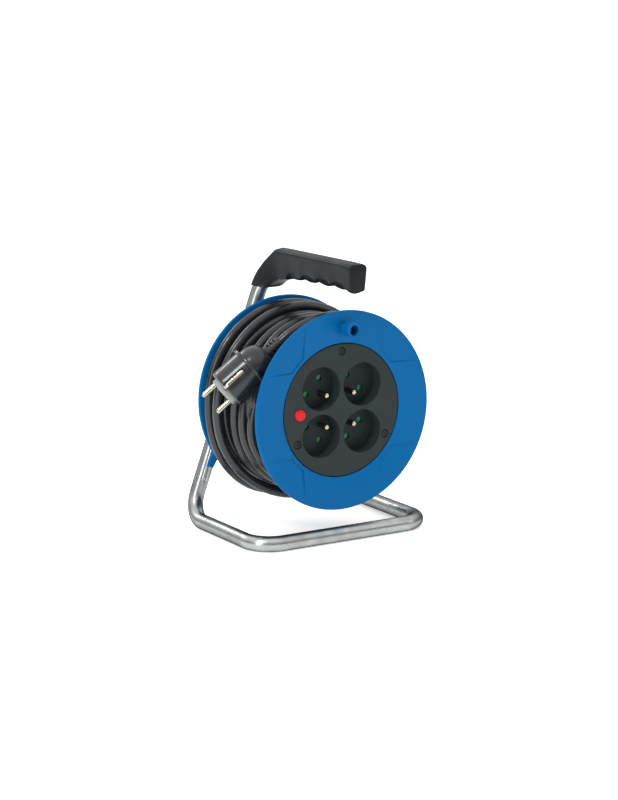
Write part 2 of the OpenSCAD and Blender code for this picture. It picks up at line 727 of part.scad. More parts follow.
module contact_cover() {
    color([0.8, 0.78, 0.72]) difference() {
        union() {
            insert_body(carrier_end, cover_end);
            // posts of the cord clamp
            for (x = [-1, 1]) y_cyl(x * (cord_d / 2 + 4), clamp_z, carrier_end, tail_y + 1, 6.4);
            translate([-cord_d / 2 - 4, carrier_end, clamp_z - 3.2])
                cube([cord_d + 8, cover_t, 5.2 - insert_half - clamp_z]);
        }
        for (x = [-1, 1]) y_cyl(x * (cord_d / 2 + 4), clamp_z, cover_end - 1, tail_y + 2, 3 + 2 * fit_gap);
        at_angle(post_r, 45) y_cyl(0, 0, carrier_end - 1, cover_end + 1, 4 + 2 * fit_gap);
        for (p = tab_places()) y_cyl(p[0], p[1], carrier_end - 1, cover_end + 1, 3.2 + 2 * fit_gap);
    }
}

// Where the posts of the line bar and the neutral bar come through the cover
function tab_places() = let(near = (diag - live_pitch / 2) * sqrt(0.5)) [[near, 0], [0, -near]];

module earth_bar() {
    color([0.8, 0.65, 0.3]) {
        difference() {
            for (a = [45, 135]) rotate([0, -a, 0])
                translate([-earth_r - 3.5, earth_bar_y, -bar_w / 2]) cube([2 * earth_r + 7, bar_t, bar_w]);
            at_sockets() y_cyl(-earth_offset, 0, cup_end, cup_end + 10, 3 + 0.04);
        }
        at_angle(post_r, 45) y_cyl(0, 0, earth_bar_y + eps, cover_end + 4, 4);
    }
}

module earth_pins() {
    tip = recess_depth - earth_pin_len;
    color([0.9, 0.88, 0.82]) at_sockets() translate([-earth_offset, 0, 0]) rotate([-90, 0, 0]) rotate_extrude()
        polygon([
            [0, tip], [1.2, tip], [earth_pin_d / 2 - 0.3, tip + 0.7], [earth_pin_d / 2, tip + 1.6],
            [earth_pin_d / 2, recess_depth - 0.1], [earth_root_d / 2, recess_depth - 0.1],
            [earth_root_d / 2, earth_bar_y], [1.5, earth_bar_y],
            [1.5, earth_bar_y + bar_t], [0, earth_bar_y + bar_t]
        ]);
}

// Four spring contacts on a strip: the line bar (turn 0) or the neutral bar (turn 90)
module contact_bar(turn, y) {
    side = turn == 0 ? 1 : -1;
    bar_strips(turn, bar_w, y, y + bar_t);
    for (sx = [-1, 1]) for (sz = [-1, 1]) at_socket(sx, sz)
        translate([0, 0, side * sx * sz * live_pitch / 2]) difference() {
            y_cyl(0, 0, contact_front, y + eps, contact_d);
            y_cyl(0, 0, contact_front - 1, y - 1, pin_d + 0.2);
            translate([-0.5, contact_front - 1, -contact_d]) cube([1, 8, 2 * contact_d]);
        }
}

module line_bar() {
    color([0.82, 0.62, 0.28]) {
        contact_bar(0, line_y);
        y_cyl(tab_places()[0][0], 0, line_y + bar_t / 2, cover_end + 4, 3.2);
    }
}

module neutral_bar() {
    color([0.82, 0.62, 0.28]) {
        contact_bar(90, neutral_y);
        y_cyl(0, tab_places()[1][1], neutral_y + bar_t / 2, cover_end + 4, 3.2);
    }
}

module shutter(sx, sz) {
    color([0.08, 0.45, 0.28]) at_socket(sx, sz) {
        translate([-shutter_half, cup_end + 0.2, -shutter_z]) cube([2 * shutter_half, shutter_t - 0.6, 2 * shutter_z]);
        translate([-shutter_half, cup_end + 0.2, -shutter_z + 6])
            cube([2 * shutter_half, shutter_t, 2 * shutter_z - 12]);
    }
}

// A small coil spring drawn as its sleeve of turns, along +Z
module spring_sleeve(d, wire, len) {
    difference() {
        cylinder(d = d, h = len);
        translate([0, 0, -1]) cylinder(d = d - 2 * wire, h = len + 2);
    }
}

module shutter_springs() {
    len = pocket_end - shutter_half - shutter_travel - 0.3;
    color([0.6, 0.6, 0.62]) at_sockets() translate([pocket_end - len, cup_end + 1.6, 0])
        rotate([0, 90, 0]) spring_sleeve(2.6, 0.5, len);
}

module thermal_cutout() {
    back = 30;
    color([0.16, 0.16, 0.17]) difference() {
        union() {
            y_cyl(-button_x, 0, plate_t + 3.5, back, 15);
            for (x = [-1, 1]) translate([-button_x + x * 4 - 0.4, back - eps, -3]) cube([0.8, 9, 6]);
        }
        y_cyl(-button_x, 0, 0, plate_t + 12, 4 + 2 * slide_gap);
        y_cyl(-button_x, 0, 0, plate_t + 5.5, 8.2);
    }
}

module reset_spring() {
    color([0.6, 0.6, 0.62]) translate([-button_x, plate_t + button_travel + 0.3, 0]) rotate([-90, 0, 0])
        spring_sleeve(7.6, 0.7, 5.5 - button_travel - 0.3);
}

module reset_button() {
    color([0.9, 0.12, 0.16]) translate([-button_x, 0, 0]) rotate([-90, 0, 0]) rotate_extrude() polygon([
        [0, -2], [button_d / 2 - 1.6, -1.9], [button_d / 2 - 0.5, -1.4], [button_d / 2, -0.6],
        [button_d / 2, plate_t - 0.2], [2, plate_t - 0.2], [2, plate_t + 9], [0, plate_t + 9]
    ]);
}

// ---------------------------------------------------------------- cord inlet

module cable_clamp() {
    span = cord_d / 2 + 4;
    color([0.2, 0.2, 0.21]) difference() {
        translate([-span - 3.2, tail_y + 1 + fit_gap, clamp_z - 3.2]) cube([2 * span + 6.4, cord_d / 2 + 1.5, 6.4]);
        translate([0, tail_y, clamp_z - 5]) cylinder(d = cord_d + 2 * fit_gap, h = 10);
        for (x = [-1, 1]) y_cyl(x * span, clamp_z, tail_y, tail_y + 20, 3.4);
    }
}

module clamp_screws() {
    color([0.7, 0.7, 0.7]) for (x = [-1, 1])
        translate([x * (cord_d / 2 + 4), tail_y + 2.5 + fit_gap + cord_d / 2, clamp_z])
            rotate([90, 0, 0]) screw(3, 9, 6, 1.8);
}

module cord_tail() {
    color([0.17, 0.18, 0.19]) translate([0, tail_y, -core_r]) cylinder(d = cord_d, h = tail_len);
}

function unit(v) = v / norm(v);

// Next ring of a wire: the last one slid along to the mitre at point i + 1
function next_ring(points, i, ring) = let(
    w = unit(points[i + 1] - points[i]),
    n = i + 2 < len(points) ? w + unit(points[i + 2] - points[i + 1]) : w
) [for (p = ring) p + w * (((points[i + 1] - p) * n) / (w * n))];

function wire_rings(points, i, ring) =
    i == len(points) - 1 ? ring : concat(ring, wire_rings(points, i + 1, next_ring(points, i, ring)));

// Faces of a tube from rings of n points, with flat ends
function tube_faces(rings, n) = let(last = n * (rings - 1)) concat(
    [for (i = [0:rings - 2]) for (k = [0:n - 1]) let(a = n * i + k, b = n * i + (k + 1) % n)
        each [[a, b, b + n], [a, b + n, a + n]]],
    [for (k = [1:n - 2]) each [[0, k + 1, k], [last, last + k, last + k + 1]]]
);

// A wire with mitred corners through a list of points
module wire(points, d) {
    sides = 8;
    w = unit(points[1] - points[0]);
    u = unit(cross(w, [1, 0.3, 0.2]));
    ring = [for (k = [0:sides - 1]) let(a = 360 * k / sides) points[0] + d / 2 * (cos(a) * u + sin(a) * cross(w, u))];
    polyhedron(points = wire_rings(points, 0, ring), faces = tube_faces(len(points), sides));
}

// Cores of the cord to the bars and to the overload switch
module lead_wires() {
    d = cord_d * 0.28;
    end_z = -core_r + tail_len + 0.1;
    post_y = cover_end + 4;
    near = tab_places()[0][0];
    color([0.25, 0.45, 0.75]) wire([
        [0, tail_y + 1, end_z], [0, tail_y + 1, end_z + 3], [0, post_y + 4, end_z + 9],
        [0, post_y + 4, -near], [0, post_y, -near]
    ], d);
    color([0.5, 0.7, 0.2]) wire([
        [2.6, tail_y - 1, end_z], [2.6, tail_y - 1, end_z + 3], [7.3, post_y + 3, end_z + 13],
        [7.3, post_y + 3, 7.3], [7.3, post_y, 7.3]
    ], d);
    color([0.5, 0.3, 0.2]) wire([
        [-2.6, tail_y - 1, end_z], [-2.6, tail_y - 1, end_z + 3], [-20, post_y + 3, end_z + 9],
        [4 - button_x, 44, 0], [4 - button_x, 39, 0]
    ], d);
    color([0.1, 0.1, 0.1]) wire([
        [-4 - button_x, 39, 0], [-4 - button_x, 50, 0], [near, 50, 0], [near, post_y, 0]
    ], d);
}

// ---------------------------------------------------------------- winding knob

module knob_peg() {
    shoulder = -flange_dish - end_gap - 5.4;
    color([0.7, 0.71, 0.72]) translate([0, 0, knob_r]) rotate([-90, 0, 0]) rotate_extrude() polygon([
        [0, shoulder - end_gap - 1.4], [3.4, shoulder - end_gap - 1.4], [4.1, shoulder - end_gap - 0.7],
        [4.1, shoulder - end_gap], [peg_d / 2, shoulder - end_gap], [peg_d / 2, 1.2], [0, 1.2]
    ]);
}

module winding_knob() {
    back = -flange_dish - end_gap;
    shoulder = back - 5.4;
    tip = back - knob_len;
    foot_r = (knob_d - knob_taper) / 2;
    color([0.09, 0.4, 0.65]) translate([0, 0, knob_r]) rotate([-90, 0, 0]) rotate_extrude() polygon([
        [peg_d / 2 + run_gap, back], [foot_r - 0.6, back], [foot_r, back - 0.8],
        [knob_d / 2, tip + 1.8], [knob_d / 2 - 0.3, tip + 0.8], [knob_d / 2 - 1, tip],
        [knob_tip_d / 2 + 0.4, tip], [knob_tip_d / 2, tip + 0.5],
        [knob_tip_d / 2, shoulder], [peg_d / 2 + run_gap, shoulder]
    ]);
}

// ---------------------------------------------------------------- cord

// Way across the drum of the cord, unwound by angle a from the strain relief
function lane(a) =
    relief_at[1] - (relief_at[1] - front_lane) * (1 - pow(1 - min(a / 60, 1), 2))
    + (loose_lane - 6 - front_lane) * ease(a, 95, 290)
    + 6 * ease(a, 290, 560)
    + (rear_lane - loose_lane) * ease(a, 560, 680)
    - wind_pitch * max(a - tidy_from, 0) / 360;

// Radius of the tidy layer at y: lower near the front flange, where the plug lies
function layer_r(y) = wind_r - 8 * (1 - ease(y, 16, 44));

// How far the plug presses the tidy layer down, at an angle on the drum and at y
function dent(t, y) = plug_dent * hump(t - 360 * floor(t / 360), dent_angle - dent_half, dent_angle, dent_angle + dent_half)
    * hump(y, dent_front, dent_middle, dent_rear);

// Radius of the middle of the cord, unwound by angle a
function cord_r(a) = let(y = lane(a))
    a >= settled ? layer_r(y) - dent(start_angle - a, y)
    : start_r + (loose_r - start_r) * (1 - pow(1 - min(a / 40, 1), 2))
        + loose_sag * hump(a, 170, 254, 330)
        + 0.4 * loose_sag * hump(a, 530, 614, 690)
        - (loose_r - layer_r(rear_lane)) * ease(a, settled - 170, settled);

function on_drum(a) = let(t = start_angle - a, r = cord_r(a)) [r * cos(t), lane(a), r * sin(t)];

// Rings lie at whole steps of the angle on the drum, so neighbouring turns run side by side
first_ring = start_angle - ring_step * floor((start_angle - 20) / ring_step);
wind_points = concat(
    [relief_at, relief_at - cord_d * pin_way],
    [for (a = [first_ring:ring_step:wind_end]) on_drum(a)]
);
last_point = wind_points[len(wind_points) - 1];
last_angle = atan2(last_point[2], last_point[0]);
wind_way = [sin(last_angle), 0, -cos(last_angle)];
stub_point = last_point + cord_d * wind_way;
route = concat(wind_points, [stub_point]);
rings = len(route);

// Least distance between turns, less the cord's diameter
least_gap = min([for (i = [0:rings - 7]) for (j = [i + 6:rings - 1]) norm(route[i] - route[j])]) - cord_d;
echo(cord_turns = (wind_end - first_ring) / 360, cord_rings = rings, cord_least_gap = least_gap);

function along(i) = unit(route[min(i + 1, rings - 1)] - route[max(i - 1, 0)]);
// Ring of six points square to the cord, one of them away from the axle
function ring_points(i) = let(
    w = i <= 1 ? -pin_way : i >= rings - 2 ? wind_way : along(i),
    out = unit([route[i][0], 0, route[i][2]]),
    side = unit(cross(w, out)),
    up = cross(side, w)
) [for (k = [0:5]) route[i] + cord_d / 2 * (cos(60 * k) * up + sin(60 * k) * side)];

module cord_winding() {
    points = [for (i = [0:rings - 1]) for (p = ring_points(i)) p];
    color([0.17, 0.18, 0.19]) polyhedron(points = points, faces = tube_faces(rings, 6));
}

// Turns of cord below the outer layer, as one body, with the ramp of the turn that comes up
module cord_core() {
    skin = cord_d / 2 + core_room;
    seat = core_r + 0.2;
    color([0.14, 0.15, 0.16]) union() {
        difference() {
            y_rev(concat(
                [[seat, core_front + 0.6], [seat, drum_gap - 0.3], [wind_r - skin, drum_gap - 0.3]],
                [for (y = [44:-4:16]) [layer_r(y) - skin, y]],
                [[layer_r(0) - skin, core_front + 0.6]]
            ));
            // hollow where the plug presses the turns down
            rotate([-90, 0, 0]) rotate([0, 0, -dent_angle - dent_half]) rotate_extrude(angle = 2 * dent_half)
                polygon([
                    [seat - 1, dent_front + cord_d / 2], [wind_r, dent_front + cord_d / 2],
                    [wind_r, dent_rear], [seat - 1, dent_rear]
                ]);
        }
        // ramp against the end of the outer layer
        rotate([0, -last_angle, 0]) translate([0, stub_point[1] - cord_d / 2 + 0.4, 0]) rotate([-90, 0, 0])
            linear_extrude(cord_d - 0.8) polygon([
                [seat, cord_d], [norm([last_point[0], last_point[2]]) + cord_d / 2 + 0.2, cord_d],
                [norm([last_point[0], last_point[2]]) - 3, 30], [seat, 30]
            ]);
    }
}

// ---------------------------------------------------------------- plug

// The plug's own frame: its face at z = 0, pins along +Z, pins side by side along X
module at_plug() {
    translate(plug_at) rotate([0, plug_tip, plug_swing]) rotate([0, 0, plug_roll]) children();
}

module plug_body() {
    r = plug_d / 2;
    neck = relief_end - 16;
    color([0.2, 0.21, 0.22]) at_plug() difference() {
        rotate_extrude($fn = 96) polygon(concat(
            [[0, 0], [r - 1.5, 0], [r - 0.5, -0.5], [r, -1.5], [r, 3 - barrel_len], [collar_d / 2 - 0.8, 3 - barrel_len],
             [collar_d / 2, 2.2 - barrel_len], [collar_d / 2, 0.8 - barrel_len], [collar_d / 2 - 0.8, -barrel_len]],
            [for (u = [0:0.1:1]) [7 + (r - 8.5) * sqrt(1 - pow(u, 2.2)), -barrel_len - u * (neck - barrel_len)]],
            [[0, -neck]]
        ));
        for (x = [-1, 1]) translate([x * pin_pitch / 2, 0, -8]) cylinder(d = pin_root_d + 0.04, h = 9);
        // bore for the socket's earth pin
        translate([0, -earth_offset, -16]) cylinder(d = earth_pin_d + 0.6, h = 17);
        // channels of the two side contacts
        for (y = [-1, 1]) translate([-3.2, y * r - 2.2, -22]) cube([6.4, 4.4, 23]);
        // cut-aways beside the pins
        for (x = [-1, 1]) translate([x * (r + 1), 0, -5]) cylinder(d = 9, h = 6);
    }
}

module plug_pins() {
    color([0.88, 0.85, 0.76]) at_plug() for (x = [-1, 1]) translate([x * pin_pitch / 2, 0, 0]) rotate_extrude()
        polygon([
            [0, -8], [pin_root_d / 2, -8], [pin_root_d / 2, 0.1], [pin_d / 2, 0.1],
            [pin_d / 2, pin_len - 1.6], [pin_d / 2 - 0.4, pin_len - 0.6],
            [pin_d / 2 - 1.2, pin_len], [0, pin_len]
        ]);
}

module plug_earth_clips() {
    r = plug_d / 2;
    color([0.8, 0.8, 0.8]) at_plug() for (y = [-1, 1]) rotate([0, 0, y == 1 ? 0 : 180]) {
        translate([-2.6, r - 2.1, -21]) cube([5.2, 1, 20.6]);
        translate([-2.6, r - 2.1, -6]) rotate([-8, 0, 0]) cube([5.2, 0.8, 5]);
    }
}

module strain_relief() {
    front = relief_end - 16;
    color([0.2, 0.21, 0.22]) at_plug() difference() {
        rotate_extrude() polygon([
            [0, -front], [7, -front], [6.6, -front - 3], [5.6, 0.6 - relief_end], [5.2, -relief_end], [0, -relief_end]
        ]);
        // slots that let it bend
        for (i = [0:2]) for (s = [0, 90]) rotate([0, 0, s + 45])
            for (y = [-1, 1]) translate([-2.8, y * 5.6 - 1.6, -front - 5 - i * 3.6 - (s == 90 ? 1.6 : 0)])
                cube([5.6, 3.2, 1.5]);
    }
}

// ---------------------------------------------------------------- the part

translate([0, -mid_y, axle_h]) {
    frame_tube();
    tube_end_cap();
    handle_grip();
    handle_screw();
    bearing_bracket();
    bracket_screws();
    axle();
    axle_washer();
    axle_screw();
    rear_flange();
    drum_core();
    front_flange();
    flange_screws();
    socket_plate();
    contact_carrier();
    contact_cover();
    earth_bar();
    earth_pins();
    line_bar();
    neutral_bar();
    plate_screws();
    thermal_cutout();
    reset_spring();
    reset_button();
    shutter(-1, 1);  // shutter_tl
    shutter(1, 1);  // shutter_tr
    shutter(-1, -1);  // shutter_bl
    shutter(1, -1);  // shutter_br
    shutter_springs();
    cable_clamp();
    clamp_screws();
    cord_tail();
    lead_wires();
    knob_peg();
    winding_knob();
    cord_core();
    cord_winding();
    strain_relief();
    plug_body();
    plug_pins();
    plug_earth_clips();
}
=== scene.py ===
"""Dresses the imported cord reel: its finishes, its cord, its moulded pieces and the studio round it.

Lengths in this file are millimetres in the reel's own frame, unless a name says otherwise: x is right, y to
the rear and z up, with the axle on the line x = z = 0 and the front of the socket plate at y = 0.
"""

from __future__ import annotations

import logging
import math
from collections.abc import Iterator, Sequence
from contextlib import contextmanager
from dataclasses import dataclass, field
from enum import Enum

import bmesh
import bpy
import numpy as np
from mathutils import Matrix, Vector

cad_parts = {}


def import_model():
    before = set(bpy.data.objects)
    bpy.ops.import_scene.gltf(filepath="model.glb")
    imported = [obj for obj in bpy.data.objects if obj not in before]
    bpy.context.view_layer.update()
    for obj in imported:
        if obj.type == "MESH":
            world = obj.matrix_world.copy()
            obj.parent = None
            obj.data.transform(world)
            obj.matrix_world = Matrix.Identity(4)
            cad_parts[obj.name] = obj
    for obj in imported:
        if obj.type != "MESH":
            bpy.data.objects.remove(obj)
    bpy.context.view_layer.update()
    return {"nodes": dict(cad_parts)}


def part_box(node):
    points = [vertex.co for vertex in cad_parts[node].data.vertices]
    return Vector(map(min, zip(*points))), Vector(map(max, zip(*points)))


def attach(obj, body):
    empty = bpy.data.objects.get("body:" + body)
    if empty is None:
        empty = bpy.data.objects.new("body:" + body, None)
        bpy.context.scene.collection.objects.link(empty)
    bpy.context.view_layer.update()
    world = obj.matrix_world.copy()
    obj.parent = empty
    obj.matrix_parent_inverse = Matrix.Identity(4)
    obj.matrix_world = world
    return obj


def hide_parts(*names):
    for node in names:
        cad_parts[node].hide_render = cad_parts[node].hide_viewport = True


LOG = logging.getLogger("cord_reel")
MM = 0.001
TURN = 2 * math.pi
Array = np.ndarray


# ---------------------------------------------------------------- small mathematics


def ease(a: Array, start: float, end: float) -> Array:
    """Smooth step from 0 to 1 between start and end: 3u^2 - 2u^3."""
    u = np.clip((np.asarray(a, float) - start) / (end - start), 0, 1)
    return u * u * (3 - 2 * u)


def hump(a: Array, start: float, top: float, end: float) -> Array:
    """Smooth hump: 0 at start, 1 at top and 0 at end."""
    return ease(a, start, top) - ease(a, top, end)


def unit(v: Array) -> Array:
    """Vectors scaled to length 1 along the last axis."""
    return v / np.maximum(np.linalg.norm(v, axis=-1, keepdims=True), 1e-12)


def rounded(points: Sequence[Sequence[float]], radius: float | Sequence[float], steps: int = 5) -> Array:
    """Rounds the inner corners of an open outline.

    Each corner becomes an arc that touches both of its sides, limited to 0.45 of the shorter side.

    Args:
        points: corners of the outline, in two or three dimensions.
        radius: radius of each arc, one for all or one per corner.
        steps: points per arc, less one.

    Returns:
        The outline's points with the arcs.
    """
    p = np.asarray(points, float)
    radii = np.broadcast_to(np.asarray(radius, float), (len(p),))
    parts = [p[:1]]
    for before, at, after, r in zip(p[:-2], p[1:-1], p[2:], radii[1:-1], strict=True):
        a, b = unit(before - at), unit(after - at)
        half = 0.5 * math.acos(float(np.clip(a @ b, -1, 1)))
        if r <= 0 or half > math.pi / 2 - 0.02:
            parts.append(at[None])
            continue
        reach = min(r / math.tan(half), 0.45 * float(min(np.linalg.norm(before - at), np.linalg.norm(after - at))))
        r = reach * math.tan(half)
        centre = at + unit(a + b) * r / math.sin(half)
        t = np.linspace(0, 1, steps + 1)[:, None]
        chord = (at + a * reach) * (1 - t) + (at + b * reach) * t
        parts.append(centre + unit(chord - centre) * r)
    parts.append(p[-1:])
    return np.concatenate(parts)


def resampled(points: Array, spacing: float) -> Array:
    """Points at an even spacing along a polyline, ends kept.

    Args:
        points: the polyline.
        spacing: about how far apart the new points lie.

    Returns:
        The new points.
    """
    steps = np.linalg.norm(np.diff(points, axis=0), axis=1)
    at = np.concatenate([[0], np.cumsum(steps)])
    wanted = np.linspace(0, at[-1], max(int(at[-1] / spacing), 2) + 1)
    return np.stack([np.interp(wanted, at, points[:, i]) for i in range(points.shape[1])], -1)


@dataclass(frozen=True)
class Place:
    """Where the reel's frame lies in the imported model."""

    origin: tuple[float, float, float]

    @staticmethod
    def from_frame() -> Place:
        """The origin is on the axle, in the plane of the socket plate's front."""
        low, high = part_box("socket_plate")
        return Place(((low.x + high.x) / 2, low.y, (low.z + high.z) / 2))

    def metres(self, points: Array) -> Array:
        """Points in millimetres in the reel's frame, as metres in the model's."""
        return np.asarray(points, float) * MM + np.array(self.origin)


@dataclass(frozen=True)
class Axes:
    """A local frame: where it lies and its three directions, in the reel's frame."""

    at: Array
    x: Array
    y: Array
    z: Array

    def out(self, points: Array) -> Array:
        """Local points in the reel's frame."""
        p = np.asarray(points, float)
        return self.at + p[..., :1] * self.x + p[..., 1:2] * self.y + p[..., 2:3] * self.z


@dataclass(frozen=True)
class Leg:
    """The leaning leg of the tube: a point on its middle at the floor, its lean in degrees and its radius."""

    foot: tuple[float, float, float] = (-88.0, 120.5, -111.5)
    lean: float = 20.01
    radius: float = 7.0

    @property
    def axes(self) -> Axes:
        """The leg's frame: X across it, Y to the rear and Z up along its middle."""
        lean = math.radians(self.lean)
        cos, sin = math.cos(lean), math.sin(lean)
        return Axes(np.array(self.foot), np.array([cos, 0, -sin]), np.array([0, 1, 0]), np.array([sin, 0, cos]))


def facing(at: Array, aim: Array) -> Matrix:
    """Turns a camera or a lamp towards what it looks at.

    Args:
        at: where it stands.
        aim: the point that it looks at.

    Returns:
        Its place, level from left to right.
    """
    back = unit(at - aim)
    right = unit(np.cross([0, 0, 1], back))
    up = np.cross(back, right)
    return Matrix([[right[i], up[i], back[i], at[i]] for i in range(3)] + [[0, 0, 0, 1]])


# ---------------------------------------------------------------- meshes


@contextmanager
def merged(mesh: bpy.types.Mesh) -> Iterator[bmesh.types.BMesh]:
    """Merges a mesh's doubles, lends it for more work, then turns its faces outwards and writes it back.

    Args:
        mesh: the mesh, in metres.

    Yields:
        The mesh in its editable form.
    """
    work = bmesh.new()
    work.from_mesh(mesh)
    bmesh.ops.remove_doubles(work, verts=work.verts, dist=2e-6)
    yield work
    bmesh.ops.recalc_face_normals(work, faces=work.faces)
    work.to_mesh(mesh)
    work.free()


class Shape:
    """Gathers surfaces and turns them into one mesh."""

    def __init__(self) -> None:
        """Starts with nothing."""
        self.points: list[Array] = []
        self.faces: list[list[int]] = []
        self.count = 0

    def add(self, points: Array, faces: Array | list[list[int]]) -> Shape:
        """Adds points and the faces among them.

        Args:
            points: any array of points, its last axis x, y and z.
            faces: corners of each face, counted from the first of these points.

        Returns:
            The shape.
        """
        self.points.append(np.asarray(points, float).reshape(-1, 3))
        shifted = np.asarray(faces, int) + self.count
        self.faces += shifted.tolist()
        self.count += len(self.points[-1])
        return self

    def grid(self, p: Array, ring: bool = True, ends: tuple[bool, bool] = (False, False)) -> Shape:
        """Adds a grid of quads.

        Args:
            p: points, rows by columns by 3.
            ring: whether the last column joins the first.
            ends: whether a flat face closes the first and the last row.

        Returns:
            The shape.
        """
        rows, cols = p.shape[:2]
        i, j = np.meshgrid(np.arange(rows - 1), np.arange(cols if ring else cols - 1), indexing="ij")
        k = (j + 1) % cols
        quads = np.stack([i * cols + j, i * cols + k, (i + 1) * cols + k, (i + 1) * cols + j], -1).reshape(-1, 4)
        start = self.count
        self.add(p, quads)
        if ends[0]:
            self.faces.append([start + n for n in range(cols)])
        if ends[1]:
            self.faces.append([start + (rows - 1) * cols + n for n in reversed(range(cols))])
        return self

    def mesh(self, name: str, place: Place) -> bpy.types.Mesh:
        """Merges the surfaces where they meet and turns their faces outwards.

        Args:
            name: the mesh's name.
            place: where the reel's frame lies.

        Returns:
            The mesh, in the model's metres.
        """
        mesh = bpy.data.meshes.new(name)
        mesh.from_pydata(place.metres(np.concatenate(self.points)).tolist(), [], self.faces)
        with merged(mesh) as work:
            bmesh.ops.dissolve_degenerate(work, edges=work.edges, dist=1e-7)
        return mesh


def swept(path: Array, radius: Array | float, outward: Array, sides: int = 20) -> Array:
    """Grid of circles square to a path.

    Args:
        path: the centre line.
        radius: the tube's radius, one or one per point.
        outward: a direction per point from which the circle starts, not along the path.
        sides: points per circle.

    Returns:
        Points, path by sides by 3: path + r (cos t up + sin t side).
    """
    way = unit(np.gradient(path, axis=0))
    side = unit(np.cross(way, outward))
    up = np.cross(side, way)
    t = np.arange(sides) * TURN / sides
    r = np.broadcast_to(np.asarray(radius, float), (len(path),))[:, None, None]
    return path[:, None] + r * (np.cos(t)[:, None] * up[:, None] + np.sin(t)[:, None] * side[:, None])


def linked(name: str, data: bpy.types.ID) -> bpy.types.Object:
    """A new object in the scene, made of a mesh, a lamp or a camera."""
    made = bpy.data.objects.new(name, data)
    bpy.context.scene.collection.objects.link(made)
    return made


# ---------------------------------------------------------------- finishes


def linear(colour: str) -> tuple[float, float, float, float]:
    """Turns an sRGB colour to linear: c / 12.92 where dark, ((c + 0.055) / 1.055)^2.4 elsewhere.

    Args:
        colour: the colour in hex, like #8E9191.

    Returns:
        Red, green, blue and an alpha of 1.
    """
    parts = np.array([int(colour[i : i + 2], 16) for i in (1, 3, 5)]) / 255
    low = parts / 12.92
    high = ((parts + 0.055) / 1.055) ** 2.4
    r, g, b = np.where(parts <= 0.04045, low, high)
    return float(r), float(g), float(b), 1.0


class Tree:
    """A node tree under construction."""

    def __init__(self, tree: bpy.types.NodeTree) -> None:
        """Empties the tree."""
        self.tree = tree
        tree.nodes.clear()

    def add(self, kind: str, inputs: dict | None = None, **settings: object) -> bpy.types.Node:
        """Adds a node.

        Args:
            kind: the node's type.
            inputs: what each input socket gets: a number, a colour or another node's socket.
            settings: the node's own properties.

        Returns:
            The node.
        """
        made = self.tree.nodes.new(kind)
        for key, value in settings.items():
            setattr(made, key, value)
        for key, value in (inputs or {}).items():
            if isinstance(value, bpy.types.NodeSocket):
                self.tree.links.new(value, made.inputs[key])
            else:
                made.inputs[key].default_value = value
        return made


@dataclass(frozen=True)
class Moulded:
    """A moulded, drawn or plated surface: a base colour that drifts slowly, with a fine grain.

    grain_mm is the size of the texture's grain, grain_height_mm its depth, drift how far the colour wanders to the
    second one over drift_mm, gloss_spread how far the roughness wanders with it, and edge_tint the colour at a slant; a
    dark edge_tint is painted shade on the reflections at a slant.
    """

    name: str
    colour: str
    drift_colour: str
    roughness: float
    specular: float = 0.5
    edge_tint: str = "#FFFFFF"
    drift: float = 0.25
    drift_mm: float = 30.0
    grain_mm: float = 0.5
    grain_height_mm: float = 0.01
    gloss_spread: float = 0.06
    metallic: float = 0.0
    stretch: tuple[float, float, float] = (1, 1, 1)

    def make(self) -> bpy.types.Material:
        """Builds the nodes on Object coordinates, which are metres; the noise lies between about 0.3 and 0.7.

        Returns:
            The material.
        """
        material = bpy.data.materials.new(self.name)
        material.use_nodes = True
        t = Tree(material.node_tree)
        where = t.add("ShaderNodeTexCoord").outputs["Object"]
        mapped = t.add("ShaderNodeMapping", {"Vector": where, "Scale": self.stretch}).outputs["Vector"]
        slow = t.add("ShaderNodeTexNoise", {"Vector": mapped, "Scale": 1 / (self.drift_mm * MM), "Detail": 3.0})
        fine = t.add("ShaderNodeTexNoise", {"Vector": mapped, "Scale": 1 / (self.grain_mm * MM), "Detail": 2.0})
        share = t.add(
            "ShaderNodeMapRange",
            {"Value": slow.outputs["Fac"], "From Min": 0.35, "From Max": 0.65, "To Min": 0.0, "To Max": self.drift},
        ).outputs["Result"]
        base = t.add(
            "ShaderNodeMix",
            {"Factor": share, "A": linear(self.colour), "B": linear(self.drift_colour)},
            data_type="RGBA",
        ).outputs["Result"]
        rough = t.add(
            "ShaderNodeMapRange",
            {
                "Value": slow.outputs["Fac"],
                "From Min": 0.3,
                "From Max": 0.7,
                "To Min": self.roughness - self.gloss_spread,
                "To Max": self.roughness + self.gloss_spread,
            },
        ).outputs["Result"]
        bump = t.add(
            "ShaderNodeBump",
            {"Height": fine.outputs["Fac"], "Distance": self.grain_height_mm * MM, "Strength": 1.0},
        ).outputs["Normal"]
        shader = t.add(
            "ShaderNodeBsdfPrincipled",
            {
                "Base Color": base,
                "Roughness": rough,
                "Metallic": self.metallic,
                "Specular IOR Level": self.specular,
                "Specular Tint": linear(self.edge_tint),
                "Normal": bump,
            },
        )
        t.add("ShaderNodeOutputMaterial", {"Surface": shader.outputs["BSDF"]})
        return material


